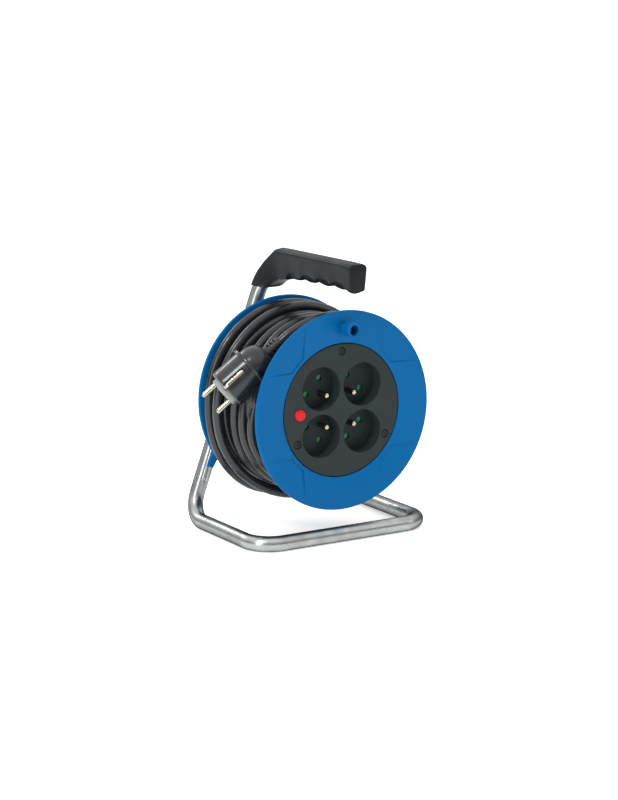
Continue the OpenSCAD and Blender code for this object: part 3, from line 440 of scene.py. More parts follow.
class Finish(Enum):
    """The reel's finishes."""

    # Zinc-plated steel tube: bright and a little cloudy; its dark edge tint is painted shade, darkening the reflections
    # at a slant
    TUBE = Moulded(
        "zinc_plated_tube", "#AEB1B0", "#8E9190", 0.3, drift=0.7, drift_mm=14.0, grain_mm=5.0,
        grain_height_mm=0.004, gloss_spread=0.05, metallic=1.0, edge_tint="#2A2C2D",
    )
    # Polypropylene dyed blue: an even satin from a lightly etched mould
    BLUE = Moulded(
        "blue_polypropylene", "#035B93", "#02568C", 0.36, specular=0.07, drift_mm=45.0, grain_height_mm=0.005
    )
    # Glass-filled polyamide of the socket plate: a matt grey with a fine spark-eroded grain
    PLATE = Moulded(
        "grey_polyamide", "#2A3131", "#272D2D", 0.5, specular=0.12, drift_mm=25.0, grain_height_mm=0.01
    )
    # Polypropylene of the grip, from an etched mould: near black, with hardly any shine
    GRIP = Moulded("grip_polypropylene", "#181C1E", "#15191B", 0.42, specular=0.1, drift_mm=25.0, grain_height_mm=0.008)
    # Extruded PVC sheath of the cord: smooth and slightly greasy, with a thin light line along each turn
    SHEATH = Moulded(
        "pvc_sheath", "#1F2224", "#272A2C", 0.23, drift=0.6, drift_mm=22.0, grain_mm=1.5, grain_height_mm=0.006
    )
    # Moulded rubber of the plug: dark and polished, so its highlights are crisp
    PLUG = Moulded("plug_rubber", "#1F2224", "#1C1F21", 0.24, drift_mm=15.0, grain_height_mm=0.006)
    # Melamine of the hard insert: light grey with a dull sheen
    INSERT = Moulded("grey_melamine", "#8E9191", "#858888", 0.45, drift_mm=6.0, grain_height_mm=0.004)
    # Nickel-plated brass of the pins and side contacts: warm and bright; its dark edge tint is painted shade, darkening
    # the reflections at a slant
    NICKEL = Moulded(
        "nickel_plated_brass", "#B7B2A3", "#A09B8B", 0.2, drift=0.5, drift_mm=3.0, metallic=1.0, gloss_spread=0.05,
        grain_height_mm=0.002, edge_tint="#3A3833",
    )
    # ABS of the reset button: an even red, a little glossy
    RED = Moulded("red_abs", "#C60E1A", "#BA0B17", 0.35, specular=0.25, drift_mm=5.0, grain_height_mm=0.002)
    # Polyamide of the shutters: the green dots behind the live holes
    GREEN = Moulded("green_polyamide", "#0F8A55", "#0D7A4B", 0.45, drift_mm=5.0, grain_height_mm=0.004)
    # Black-oxide steel of the screws in the plate: darker than the plate, with a soft glint
    BLACK_SCREW = Moulded(
        "black_oxide_steel", "#2A2A2B", "#3A3A3A", 0.35, drift_mm=2.0, metallic=0.9, grain_height_mm=0.003
    )
    # Zinc-plated steel of the axle and of the screws, lighter than the tube; on the rim of the leg's groove that
    # lighter tone is a painted highlight along the groove's edges
    STEEL = Moulded(
        "zinc_plated_steel_and_groove_highlight", "#C6C8C6", "#A6A8A4", 0.3, drift=0.6, drift_mm=4.0, metallic=1.0, grain_height_mm=0.004
    )
    # Black polyamide of the small parts: a plain satin
    BLACK = Moulded("black_polyamide", "#1D1E20", "#242628", 0.45, drift_mm=12.0, grain_height_mm=0.006)
    # Cream polyamide that carries the contacts: pale and matt
    CREAM = Moulded("cream_polyamide", "#DDD8C6", "#D2CCB8", 0.5, drift_mm=14.0, grain_height_mm=0.006)
    # Rolled brass of the contact bars: yellow, with faint streaks
    BRASS = Moulded(
        "rolled_brass", "#D9B36A", "#C69D52", 0.28, drift=0.6, drift_mm=5.0, metallic=1.0, grain_height_mm=0.004,
        stretch=(1, 4, 1),
    )
    # PVC of the wires in the drum: plain mid blue
    WIRE = Moulded("wire_pvc", "#3E6FB5", "#3A68AA", 0.4, drift_mm=8.0, grain_height_mm=0.003)

    def __init__(self, recipe: Moulded) -> None:
        """Keeps the recipe; the material is made once, when it is first asked for."""
        self.recipe = recipe
        self.made: bpy.types.Material | None = None

    @property
    def material(self) -> bpy.types.Material:
        """The finish as a material."""
        if self.made is None:
            self.made = self.recipe.make()
        return self.made


def dress(mesh: bpy.types.Mesh, finish: Finish) -> None:
    """Gives a mesh a finish in place of all that it had."""
    mesh.materials.clear()
    mesh.materials.append(finish.material)


def finished(
    mesh: bpy.types.Mesh, finish: Finish, body: str, replaces: Sequence[str] = (), sharp: float = 35
) -> bpy.types.Object:
    """Makes a piece of a mesh: smooths it, gives it its finish and lets it ride.

    Args:
        mesh: the piece's mesh, which bears its name.
        finish: its finish.
        body: the CAD body that it moves with.
        replaces: CAD nodes that it stands for.
        sharp: edges that turn by more degrees than this stay crisp.

    Returns:
        The object, at the origin, with its place in its mesh.
    """
    mesh.polygons.foreach_set("use_smooth", np.ones(len(mesh.polygons), bool))
    mesh.set_sharp_from_angle(angle=math.radians(sharp))
    dress(mesh, finish)
    made = linked(mesh.name, mesh)
    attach(made, body)
    if replaces:
        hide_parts(*replaces)
    LOG.info("%s: %d faces on %s", made.name, len(mesh.polygons), body)
    return made


# ---------------------------------------------------------------- the cord


@dataclass
class Plug:
    """The parked plug: its face, the way its pins point and its turn about them."""

    at: tuple[float, float, float] = (-99.1, 33.0, 23.1)
    tip: float = 129.2
    swing: float = 164.8
    roll: float = 26.5
    relief_end: float = 64.1

    @property
    def axes(self) -> Axes:
        """The plug's frame: its face at z = 0, pins along +Z and side by side along X."""
        tip, swing, roll = (math.radians(v) for v in (self.tip, self.swing, self.roll))
        x0 = np.array([math.cos(tip) * math.cos(swing), math.cos(tip) * math.sin(swing), -math.sin(tip)])
        y0 = np.array([-math.sin(swing), math.cos(swing), 0])
        z = np.array([math.sin(tip) * math.cos(swing), math.sin(tip) * math.sin(swing), math.cos(tip)])
        x = math.cos(roll) * x0 + math.sin(roll) * y0
        y = -math.sin(roll) * x0 + math.cos(roll) * y0
        return Axes(np.array(self.at), x, y, z)

    @property
    def relief_at(self) -> Array:
        """Where the cord leaves the strain relief."""
        return self.axes.out(np.array([0, 0, -self.relief_end]))


@dataclass(frozen=True)
class Bulge:
    """A smooth rise or dip: how high it is, and where it starts, tops and ends."""

    size: float
    start: float
    top: float
    end: float

    def at(self, a: Array) -> Array:
        """Its height at a: the size times the smooth hump."""
        return self.size * hump(a, self.start, self.top, self.end)


@dataclass
class Cord:
    """The cord on the drum: two hidden layers, a tidy outer layer and loose turns up to the plug.

    Along the cord an angle counts how far it is unwound from the plug, and round the drum it is the drum's own,
    both in degrees. crossings are the runs towards the rear: how far each goes, and where it starts and ends.
    landed is how far it is unwound where it has reached the loose turns' radius and the front lane. sags are where
    the loose turns hang off the layer, and back_at the shares of the hidden run where it turns back. Names on lanes
    are places across the drum, measured to the rear like front_lane.
    """

    place: Place
    plug: Plug
    diameter: float = 8.6
    length: float = 15.0
    wind_pitch: float = 13.2
    tidy_turns: float = 6.0
    hidden_turns: float = 26.0
    wind_r: float = 75.5
    front_low: float = 8.0
    low_until: tuple[float, float] = (16.0, 44.0)
    loose_r: float = 83.2
    front_lane: float = 11.5
    crossings: tuple[tuple[float, float, float], ...] = ((60.5, 95, 290), (6, 290, 560), (13.5, 480, 610))
    joins_at: float = 18.0
    landed: tuple[float, float] = (40.0, 60.0)
    stray: float = 2.2
    stray_rate: float = 1.37
    stray_in: float = 200.0
    tidy_from: float = 900.0
    settled: float = 960.0
    settling: float = 170.0
    sags: tuple[Bulge, ...] = (Bulge(6.0, 185, 250, 360), Bulge(7.8, 540, 604, 672), Bulge(-2.2, 120, 190, 240))
    tidy_sag: Bulge = Bulge(4.0, 165, 232, 300)
    sag_lanes: tuple[float, float] = (20.0, 60.0)
    sag_in: float = 90.0
    plug_dent: Bulge = Bulge(9.8, 103.5, 153.5, 203.5)
    dent_lanes: Bulge = Bulge(1.0, 4, 36, 66)
    inner_r: float = 62.5
    back_at: tuple[float, float] = (0.42, 0.83)
    back_lanes: tuple[float, float] = (92.6, 10.5)
    below_rear: float = 6.6
    below_front: float = 4.4
    front_rise: float = 2.6
    rise_lanes: tuple[float, float] = (38.0, 48.0)
    entry_y: float = 43.2
    entry_dip: float = 2.0
    step: float = 4.0

    @property
    def rear_lane(self) -> float:
        """Place across the drum where the tidy layer starts."""
        return self.front_lane + sum(width for width, _, _ in self.crossings)

    def layer_r(self, y: Array) -> Array:
        """Radius of the tidy layer: lower near the front flange."""
        return self.wind_r - self.front_low * (1 - ease(y, *self.low_until))

    def lane(self, a: Array) -> Array:
        """Place across the drum, unwound by a degrees from the plug.

        From the plug to the front lane, over the crossings to the rear, then forward by a pitch per turn, straying a
        little as a sine.

        Args:
            a: angles unwound, in degrees.

        Returns:
            The place of the cord's middle at each.
        """
        start = float(self.plug.relief_at[1])
        y = start - (start - self.front_lane) * (1 - (1 - np.minimum(a / self.landed[1], 1)) ** 2)
        for width, begin, end in self.crossings:
            y = y + width * ease(a, begin, end)
        y = y - self.wind_pitch * np.maximum(a - self.tidy_from, 0) / 360
        strays = ease(a, self.tidy_from, self.tidy_from + self.stray_in)
        return y + self.stray * np.sin(np.radians(a * self.stray_rate)) * strays

    def radius(self, a: Array, drum_angle: Array) -> Array:
        """Radius of the cord's middle, unwound by a degrees.

        The loose turns rise from the plug to their radius, sag, and settle on the layer, which has the plug's dent and
        a sag of its own towards the rear.

        Args:
            a: angles unwound, in degrees.
            drum_angle: the drum's own angle at each, in degrees.

        Returns:
            The radius at each.
        """
        y = self.lane(a)
        start = float(np.hypot(self.plug.relief_at[0], self.plug.relief_at[2]))
        loose = start + (self.loose_r - start) * (1 - (1 - np.minimum(a / self.landed[0], 1)) ** 2)
        for sag in self.sags:
            loose = loose + sag.at(a)
        drop = self.loose_r - self.layer_r(np.array(self.rear_lane))
        loose = loose - drop * ease(a, self.settled - self.settling, self.settled)
        dent = self.plug_dent.at(drum_angle % 360) * self.dent_lanes.at(y)
        hang = self.tidy_sag.at(drum_angle % 360) * ease(y, *self.sag_lanes)
        hang = hang * ease(a, self.settled, self.settled + self.sag_in)
        return np.where(a >= self.settled, self.layer_r(y) - dent + hang, loose)

    def outer(self) -> Array:
        """Centre line from the plug to the front end of the outer layer: (r cos t, y, r sin t).

        Returns:
            Its points, from just inside the strain relief.
        """
        relief = self.plug.relief_at
        way = self.plug.axes.z
        start = math.degrees(math.atan2(relief[2], relief[0]))
        end = self.tidy_from + 360 * self.tidy_turns
        a = np.concatenate([np.arange(self.joins_at, end, self.step), [end]])
        t = start - a
        r = self.radius(a, t)
        y = self.lane(a)
        on_drum = np.stack([r * np.cos(np.radians(t)), y, r * np.sin(np.radians(t))], -1)
        first = relief - np.linspace(-0.4, 1, 4)[:, None] * self.diameter * way
        return self.eased_start(first, on_drum)

    @staticmethod
    def eased_start(first: Array, rest: Array) -> Array:
        """Joins two runs with a cubic that keeps both directions.

        Args:
            first: the run that comes first.
            rest: the run after it.

        Returns:
            Both runs and the points between them.
        """
        p0, p1 = first[-1], rest[0]
        span = float(np.linalg.norm(p1 - p0))
        v0, v1 = unit(first[-1] - first[-2]) * span, unit(rest[1] - rest[0]) * span
        t = np.linspace(0, 1, 7)[1:-1, None]
        h = ((1 + 2 * t) * (1 - t) ** 2, t * (1 - t) ** 2, t * t * (3 - 2 * t), t * t * (t - 1))
        return np.concatenate([first, h[0] * p0 + h[1] * v0 + h[2] * p1 + h[3] * v1, rest])

    def inner(self, end_angle: float) -> Array:
        """Centre line of the hidden layers, from the front end of the outer layer down to the drum.

        It goes back to the rear right under the outer layer, forward to the front on the drum and back to the entry,
        and dips there towards the drum's wall.

        Args:
            end_angle: the drum angle at which the outer layer stops, in degrees.

        Returns:
            Points from the outer layer's end to the entry.
        """
        turns = self.hidden_turns + (end_angle + 90) / 360
        a = np.arange(self.step * 2, turns * 360, self.step * 2)
        t = end_angle - a
        u = a / (turns * 360)
        rear, front = self.back_at
        y = np.interp(u, [0, rear, front, 1], [self.front_lane - 0.7, *self.back_lanes, self.entry_y])
        over = np.minimum(self.wind_r - self.below_rear, self.layer_r(y) - self.below_front)
        rise = (1 - ease(y, *self.rise_lanes)) * (1 - ease(u, front - 0.02, front + 0.02))
        under = self.inner_r + self.front_rise * rise
        below = over + (under - over) * ease(u, rear - 0.02, rear + 0.02)
        r = below + (self.layer_r(y) - below) * (1 - ease(u, 0, 0.03)) - self.entry_dip * ease(u, 0.985, 1)
        return np.stack([r * np.cos(np.radians(t)), y, r * np.sin(np.radians(t))], -1)

    def build(self, pieces: Sequence[str]) -> None:
        """Args:
            pieces: the pieces on it; not used.
        """
        outer = self.outer()
        end_angle = math.degrees(math.atan2(outer[-1, 2], outer[-1, 0]))
        path = np.concatenate([outer, self.inner(end_angle)])[::-1]
        steps = np.linalg.norm(np.diff(path, axis=0), axis=1)
        LOG.info("cord: %.2f m on the drum, in %d points", steps.sum() * MM, len(path))
        outward = path * (1, 0, 1)
        tube = Shape().grid(swept(path, self.diameter / 2, outward), ends=(True, True))
        sheath = tube.mesh("cord_sheath", self.place)
        made = finished(sheath, Finish.SHEATH, "drum", ("cord_core", "cord_winding", "cord_tail"))
        line = self.place.metres(path)


# ---------------------------------------------------------------- the grip


@dataclass
class Grip:
    """The moulded grip: a crowned section with four finger scallops that turns down into a skirt on the leg.

    A section runs from its flat top down to its side edges, and the crown bulges past them. Along the straight part
    the sections are square to Y, round the bend they fan out from one centre, and the skirt ends flat. fan is that
    centre's y and z, and back_r, bend_r, skirt_in and bend_in are radii round it: of the back, of the leg's middle and
    of the inside, at its end and where it starts.
    """

    place: Place
    middle_x: float = -3.5
    lean: float = 0.31
    skew: float = 0.365
    axis_z: float = 120.5
    half: float = 8.8
    taper: float = 1.4
    crown: float = 0.7
    front_crown: float = 2.0
    lobe: float = 7.2
    front_y: float = -32.6
    rear_y: float = 97.8
    roof_front: float = 134.7
    roof_rear: float = 132.8
    fan: float = 85.5
    bend_r: float = 35.0
    back_r: float = 43.85
    skirt_in: float = 21.5
    bend_in: float = 20.7
    skirt_z: float = 97.0
    last_ridge: float = 78.0
    pitch: float = 24.7
    grooves: int = 4
    front_round: float = 1.8
    front_bulge: float = 3.6
    front_slant: float = 0.9
    corner: float = 3.0
    front_corner: float = 1.6
    ridge_y: tuple[float, ...] = (-31.7, -27, -20.4, 2.4, 27.4, 53.6, 78, 85.5, 92.7)
    ridge_z: tuple[float, ...] = (110.9, 111.3, 112.9, 112.8, 112.6, 111.7, 107.7, 106.2, 104.7)
    groove_y: tuple[float, ...] = (-7.4, 17.3, 41.7, 66.5)
    groove_z: tuple[float, ...] = (117.3, 117.0, 116.5, 115.5)
    bend_end: float = 37.5
    straight_from: float = 53.0
    square_span: tuple[float, float] = (75.0, 45.0)
    blend: float = 100.0

    def roof(self, y: Array) -> Array:
        """Height of the flat top: a straight line from the front to the rear."""
        return self.roof_rear + (self.roof_front - self.roof_rear) * (self.rear_y - y) / (self.rear_y - self.front_y)

    def scallop(self, y: Array) -> Array:
        """Share of a groove, 0 on the ridges and 1 in the grooves: sin(pi p^0.868) over each pitch p."""
        turn = (self.last_ridge - y) / self.pitch
        return np.sin(math.pi * np.power(turn % 1, 0.868)) * ((turn > 0) & (turn < self.grooves))

    def edge(self, y: Array) -> Array:
        """Height of the side edges: the ridge line, raised to the groove line by the scallops."""
        ridge = np.interp(y, self.ridge_y, self.ridge_z)
        groove = np.interp(y, self.groove_y, self.groove_z)
        return ridge + (groove - ridge) * self.scallop(y)

    def fanned(self, angle: Array, radius: Array) -> Array:
        """Points [y, z] at an angle in degrees and a radius round the bend's centre."""
        a = np.radians(angle)
        return np.stack([self.fan + radius * np.cos(a), self.fan + radius * np.sin(a)], -1)

    def outer_r(self, angle: Array, x: Array | float = 0.0) -> Array:
        """Radius of the back, x from its left side: (f^-n + b^-n)^(-1/n), the smooth minimum of roof and shoulder.

        f is the roof's plane, and b the shoulder, round at first and straight from an angle on.

        Args:
            angle: angles round the bend's centre, in degrees.
            x: how far across the grip, from its left side.

        Returns:
            The radius at each.
        """
        a = np.radians(angle)
        fall = (self.roof_front - self.roof_rear) / (self.rear_y - self.front_y)
        flat = (self.roof(np.array(self.fan)) - self.fan) / (np.sin(a) + fall * np.cos(a))
        skewed = self.back_r + self.skew * x * ease(angle, 40, 56)
        back = skewed / np.cos(np.radians(np.maximum(angle, self.straight_from) - self.straight_from))
        return (flat**-self.blend + back**-self.blend) ** (-1 / self.blend)

    def rows(self) -> tuple[Array, ...]:
        """The sections from front to skirt.

        Returns:
            Middle x, top [y, z], side edge [y, z], inset, squareness (0 crowned, 1 flat), crown and the angle
            round the bend of each section.
        """
        t = np.radians([0, 22.5, 45, 67.5])
        y_cap = self.front_y + self.front_round * (1 - np.cos(t))
        to_bend = self.last_ridge + np.array([1.5, 3, 4.5, 6])
        y = np.concatenate([y_cap, self.last_ridge - self.pitch / 20 * np.arange(87, -1, -1), to_bend])
        inset = np.zeros(len(y))
        inset[: len(t)] = self.front_round * (1 - np.sin(t))
        back = self.front_slant * (1 - ease(y, self.front_y + 2, self.front_y + 14))
        top = np.stack([y, self.roof(y)], -1)
        low = np.stack([y + back, self.edge(y)], -1)
        x = np.full(len(y), self.middle_x)
        y_first = self.last_ridge - self.grooves * self.pitch

        turn = np.arange(90.0, self.bend_end - 1, -2.5)
        edge_r = self.skirt_in + (self.bend_in - self.skirt_in) * ease(turn, self.bend_end, 69)
        fan_top, fan_low = self.fanned(turn, self.outer_r(turn)), self.fanned(turn, edge_r)
        rise = self.skirt_z - self.fan
        u = np.linspace(0, 1, 9)[1:]
        ends = [math.degrees(math.asin(rise / r)) for r in (self.back_r, self.skirt_in, self.bend_r)]
        last = float(turn[-1])
        skirt_top = self.fanned(last + (ends[0] - last) * u, np.full(len(u), self.back_r))
        skirt_low = self.fanned(last + (ends[1] - last) * u, np.full(len(u), self.skirt_in))
        middle = np.concatenate([turn, last + (ends[2] - last) * u])
        centre_z = self.fan + self.bend_r * np.sin(np.radians(middle))
        return (
            np.concatenate([x, self.middle_x - self.lean * (self.axis_z - centre_z)]),
            np.concatenate([top, fan_top, skirt_top]),
            np.concatenate([low, fan_low, skirt_low]),
            np.concatenate([inset, np.zeros(len(middle))]),
            np.concatenate([np.zeros(len(y)), np.interp(-middle, -np.array(self.square_span), [0, 1])]),
            np.concatenate([
                self.crown + self.lobe * self.scallop(y) + self.front_crown * (y < y_first),
                np.full(len(middle), self.crown),
            ]),
            np.concatenate([np.full(len(y), 90.0), middle]),
        )

    def build(self) -> None:
        """Lofts the sections: a flat top, round corners, tapering sides and the crown (1 - x^n)^q.

        From crowned to flat, n grows from 2 to 8 and q falls from 0.9 to 0.35. The front end bulges towards its foot,
        and lift turns the shoulder's back a little about the leg.
        """
        x, top, low, inset, square, crown, turn = self.rows()
        s, k, crown, turn = (v[:, None] for v in (inset, square, crown, turn))
        deep = np.linalg.norm(low - top, axis=1)[:, None]
        corner = self.corner + k - s / 2
        corner = corner + self.front_corner * (1 - ease(top[:, :1], self.front_y, self.front_y + 20))
        half = self.half - s
        foot = half - self.taper * (1 - k)
        a = np.linspace(0, math.pi / 2, 7)
        b = np.linspace(0, 1, 9)[1:-1]
        c = np.sin(np.linspace(math.pi / 2, 0, 15))
        side = np.concatenate(
            [np.linspace(0, 1, 5)[:-1] * (half - corner), half - corner + corner * np.sin(a), half + (foot - half) * b,
             foot * c], 1
        )
        depth = np.concatenate(
            [np.broadcast_to(s, (len(s), 4)), s + corner * (1 - np.cos(a)),
             s + corner + (deep - 2 * s - corner) * b, deep - s + crown * (1 - c ** (2 + 6 * k)) ** (0.9 - 0.55 * k)], 1
        )
        across = np.concatenate([side, -side[:, -2:0:-1]], 1)
        down = np.concatenate([depth, depth[:, -2:0:-1]], 1)
        way = (low - top) / deep
        y = top[:, :1] + down * way[:, :1]
        at_front = 1 - ease(top[:, :1], self.front_y + 1, self.front_y + 13)
        y += self.front_bulge * ease(down - deep, -1, crown) * at_front
        z = top[:, 1:] + down * way[:, 1:]
        lift = (self.outer_r(turn, across + half) - self.outer_r(turn)) * (turn < 90) * (1 - down / deep)
        y -= lift * way[:, :1]
        z -= lift * way[:, 1:]
        loft = Shape().grid(np.stack([x[:, None] + across, y, z], -1), ends=(True, True))
        finished(loft.mesh("grip_moulding", self.place), Finish.GRIP, "frame", ("handle_grip",), sharp=40)


# ---------------------------------------------------------------- the bearing bracket


@dataclass
class Bracket:
    """The blue bracket on the leg, its web trimmed flush with the top of its saddle."""

    place: Place
    leg: Leg = Leg()
    top: float = 185.2

    def build(self, node: bpy.types.Object) -> None:
        """Copies the bracket, merges it, cuts it square to the leg and closes the cut.

        Args:
            node: the bracket's CAD node.
        """
        axes = self.leg.axes
        mesh = node.data.copy()
        mesh.name = "bracket_moulding"
        with merged(mesh) as work:
            cut = bmesh.ops.bisect_plane(
                work,
                geom=[*work.verts, *work.edges, *work.faces],
                plane_co=self.place.metres(axes.out(np.array([0, 0, self.top]))),
                plane_no=axes.z,
                clear_outer=True,
            )
            rim = [edge for edge in cut["geom_cut"] if isinstance(edge, bmesh.types.BMEdge)]
            bmesh.ops.holes_fill(work, edges=rim, sides=0)
        finished(mesh, Finish.BLUE, "frame", ("bearing_bracket",), sharp=30)


@dataclass
class LegGroove:
    """The raised rim of the long groove that is pressed into the leg behind and below the bracket, its lighter steel a
    painted highlight along the groove's edges.
    """

    place: Place
    leg: Leg = Leg()
    turn: float = -8.0
    half: float = 2.0
    low: float = 36.0
    high: float = 100.0
    bead_r: float = 0.6

    def build(self) -> None:
        """A thin bead round the groove: down one side, round a half circle at the low end and up the other side."""
        t = np.linspace(0, math.pi, 13)
        side = np.concatenate([[self.half], self.half * np.cos(t), [-self.half]])
        up = np.concatenate([[self.high], self.low - self.half * np.sin(t), [self.high]])
        line = resampled(np.stack([side, up], -1), 0.5)
        around = np.radians(self.turn) + line[:, 0] / self.leg.radius
        axes = self.leg.axes
        out = np.stack([np.sin(around), -np.cos(around), np.zeros(len(line))], -1)
        path = axes.out(self.leg.radius * out + line[:, 1:] * (0, 0, 1))
        outward = axes.out(out) - axes.at
        bead = Shape().grid(swept(path, self.bead_r, outward, 8), ends=(True, True))
        # The bead's lighter steel is a painted highlight along the groove's edges
        finished(bead.mesh("leg_groove_bead_painted_highlight", self.place), Finish.STEEL, "frame")


# ---------------------------------------------------------------- the sockets


@dataclass
class SocketMarks:
    """Small curved ribs on the floors of three sockets, at their lower right."""

    place: Place
    pitch: float = 42.7
    floor: float = 15.0
    arc_r: float = 12.6
    span: float = 34.0
    middle: float = -52.0
    rib_r: float = 0.6

    def build(self) -> None:
        """Arcs about the sockets' middles, half sunk into their floors, thinner at both ends."""
        shape = Shape()
        half = self.pitch / 2
        a = np.radians(self.middle + np.linspace(-self.span / 2, self.span / 2, 17))
        thick = self.rib_r * np.sqrt(np.clip(1 - np.linspace(-1, 1, 17) ** 4, 0.02, 1))
        for x, z in ((half, half), (-half, -half), (half, -half)):
            path = np.stack([x + self.arc_r * np.cos(a), np.full(len(a), self.floor), z + self.arc_r * np.sin(a)], -1)
            shape.grid(swept(path, thick, np.broadcast_to([0.0, -1.0, 0.0], path.shape), 10), ends=(True, True))
        finished(shape.mesh("socket_floor_ribs", self.place), Finish.PLATE, "drum")


# ---------------------------------------------------------------- the plug


@dataclass
class PlugBody:
    """The plug's moulded body with its contact channels, its hard insert and the side contacts."""

    place: Place
    axes: Axes
    radius: float = 18.5
    face_round: float = 1.5
    barrel: float = 30.0
    collar_r: float = 21.0
    collar_width: float = 3.0
    neck: float = 48.1
    neck_r: tuple[float, float] = (17.0, 7.0)
    neck_power: float = 2.2
    channel_half: float = 3.2
    channel_floor: float = 16.3
    channel_end: float = -22.0
    notch_x: float = 19.5
    notch_r: float = 4.5
    notch_depth: float = 5.0
    insert_half: tuple[float, float] = (13.2, 7.4)
    insert_power: float = 3.4
    strip_line: tuple[tuple[float, float], ...] = (
        (16.8, -21), (16.8, -16), (17.3, -9), (16.9, -2.4), (15.2, 0.7), (9.0, 0.9)
    )
    strip_rounds: tuple[float, ...] = (0, 3, 6, 4, 1.6, 0)

    def profile(self) -> Array:
        """The outline of the plug, from the face's middle over the barrel and the collar down the domed neck.

        The dome's radius falls from root to tip with sqrt(1 - u^n), u being the share of the neck's length.

        Returns:
            Points [radius, z].
        """
        u = np.linspace(0, 1, 25)[1:]
        # Rows a hair before and behind the ends of the notches and of the channels keep those ends crisp
        hair = np.array([0.02, -0.02])
        ends = (hair - self.notch_depth, [-7, -9, -12, -15, -18], hair + self.channel_end)
        barrel = np.concatenate([[-2.2, -3.4], *ends, [-24, -26]])
        corner = np.linspace(0, math.pi / 2, 6)
        face = [[0.01, 0], [4, 0], [8, 0], [12, 0], [15, 0], [16.2, 0]]
        edge = self.face_round
        rim = np.stack([self.radius - edge + edge * np.sin(corner), -edge + edge * np.cos(corner)], -1)
        walls = np.stack([np.full(len(barrel), self.radius), barrel], -1)
        back = self.collar_width - self.barrel
        root, tip = self.neck_r
        collar = rounded(
            [[self.radius, back - 0.2], [self.radius + 0.3, back], [self.collar_r, back], [self.collar_r, -self.barrel],
             [root + 0.3, -self.barrel], [root, -self.barrel - 0.4]], [0, 0.2, 0.9, 0.9, 0.3, 0], 5
        )
        dome_r = tip + (root - tip) * np.sqrt(1 - u**self.neck_power)
        dome = np.stack([dome_r, -self.barrel - u * (self.neck - self.barrel)], -1)
        return np.concatenate([face, rim, walls, collar, dome])

    def body(self) -> bpy.types.Object:
        """Turns the profile about Z: (r cos t, r sin t, z), r cut to the channels' floors and the notches' arcs.

        Returns:
            The moulded body.
        """
        rim = math.degrees(math.asin(self.channel_half / self.radius))
        walls = [middle + side * step for middle in (90, 270) for side in (-1, 1) for step in (rim, rim + 0.3)]
        t = np.radians(np.unique(np.concatenate([np.arange(0, 360, 2.5), walls])))
        profile = self.profile()
        r, z = np.broadcast_arrays(profile[:, :1], profile[:, 1:])
        r = np.repeat(r, len(t), 1)
        z = np.repeat(z, len(t), 1)
        cos, sin = np.cos(t), np.sin(t)
        in_channel = (np.abs(cos) * self.radius < self.channel_half + 0.01) & (z > self.channel_end)
        r = np.where(in_channel, np.minimum(r, self.channel_floor / np.maximum(np.abs(sin), 0.5)), r)
        room = self.notch_r**2 - (self.notch_x * sin) ** 2
        arc = self.notch_x * np.abs(cos) - np.sqrt(np.maximum(room, 0))
        r = np.where((room > 0) & (z > -self.notch_depth), np.minimum(r, arc), r)
        turned = Shape().grid(self.axes.out(np.stack([r * cos, r * sin, z], -1)), ends=(False, True))
        mesh = turned.mesh("plug_moulding", self.place)
        return finished(mesh, Finish.PLUG, "drum", ("plug_body",), sharp=40)

    def insert(self) -> bpy.types.Object:
        """Raises a lozenge on the face, its edge rounded.

        Its outline is |x / a|^n + |y / b|^n = 1, and each row is that outline at a share of its size and a height.

        Returns:
            The hard insert that carries the pins.
        """
        t = np.linspace(0, TURN, 72, endpoint=False)
        power = 2 / self.insert_power
        x, y = (
            half * np.sign(v) * np.abs(v) ** power
            for half, v in zip(self.insert_half, (np.cos(t), np.sin(t)), strict=True)
        )
        rows = [(1.0, -0.3), (1.0, 3.3), (0.985, 3.75), (0.95, 4.05), (0.9, 4.15), (0.45, 4.15), (0.01, 4.15)]
        grid = np.stack([np.stack([x * k, y * k, np.full(len(t), z)], -1) for k, z in rows])
        raised = Shape().grid(self.axes.out(grid))
        return finished(raised.mesh("plug_insert", self.place), Finish.INSERT, "drum", sharp=40)

    def contacts(self) -> bpy.types.Object:
        """Carries a strip's section along each channel, hooked over the face at its front end.

        Returns:
            The two sprung side contacts.
        """
        shape = Shape()
        line = resampled(rounded(self.strip_line, self.strip_rounds, 6), 0.7)
        along = unit(np.gradient(line, axis=0))
        normal = np.stack([-along[:, 1], along[:, 0]], -1)
        half = np.interp(line[:, 1], [-21, -19.5, -3, 0.4], [1.1, 1.6, 1.6, 1.5])[:, None]
        section = np.array([[-1, -0.35], [-0.86, -0.45], [0, -0.3], [0.86, -0.45], [1, -0.35], [1, 0.35], [0.86, 0.45],
                            [0, 0.62], [-0.86, 0.45], [-1, 0.35]])
        for side in (1, -1):
            x = side * half * section[:, 0]
            across = section[:, 1]
            y = side * (line[:, :1] - normal[:, :1] * across)
            z = line[:, 1:] - normal[:, 1:] * across
            shape.grid(self.axes.out(np.stack([x, y, z], -1)), ends=(True, True))
        mesh = shape.mesh("plug_contacts", self.place)
        return finished(mesh, Finish.NICKEL, "drum", ("plug_earth_clips",), sharp=40)


# ---------------------------------------------------------------- the studio


@dataclass(frozen=True)
class Lamp:
    """An area light that faces the reel: its place, its width and height in metres and its power in watts."""

    name: str
    at: tuple[float, float, float]
    size: tuple[float, float]
    power: float

    def build(self, aim: tuple[float, float, float]) -> None:
        """Hangs the lamp.

        Args:
            aim: the point that it looks at, in metres.
        """
        data = bpy.data.lights.new(self.name, "AREA")
        data.shape = "RECTANGLE"
        data.size, data.size_y = self.size
        data.energy = self.power
        linked(self.name, data).matrix_world = facing(np.array(self.at), np.array(aim))


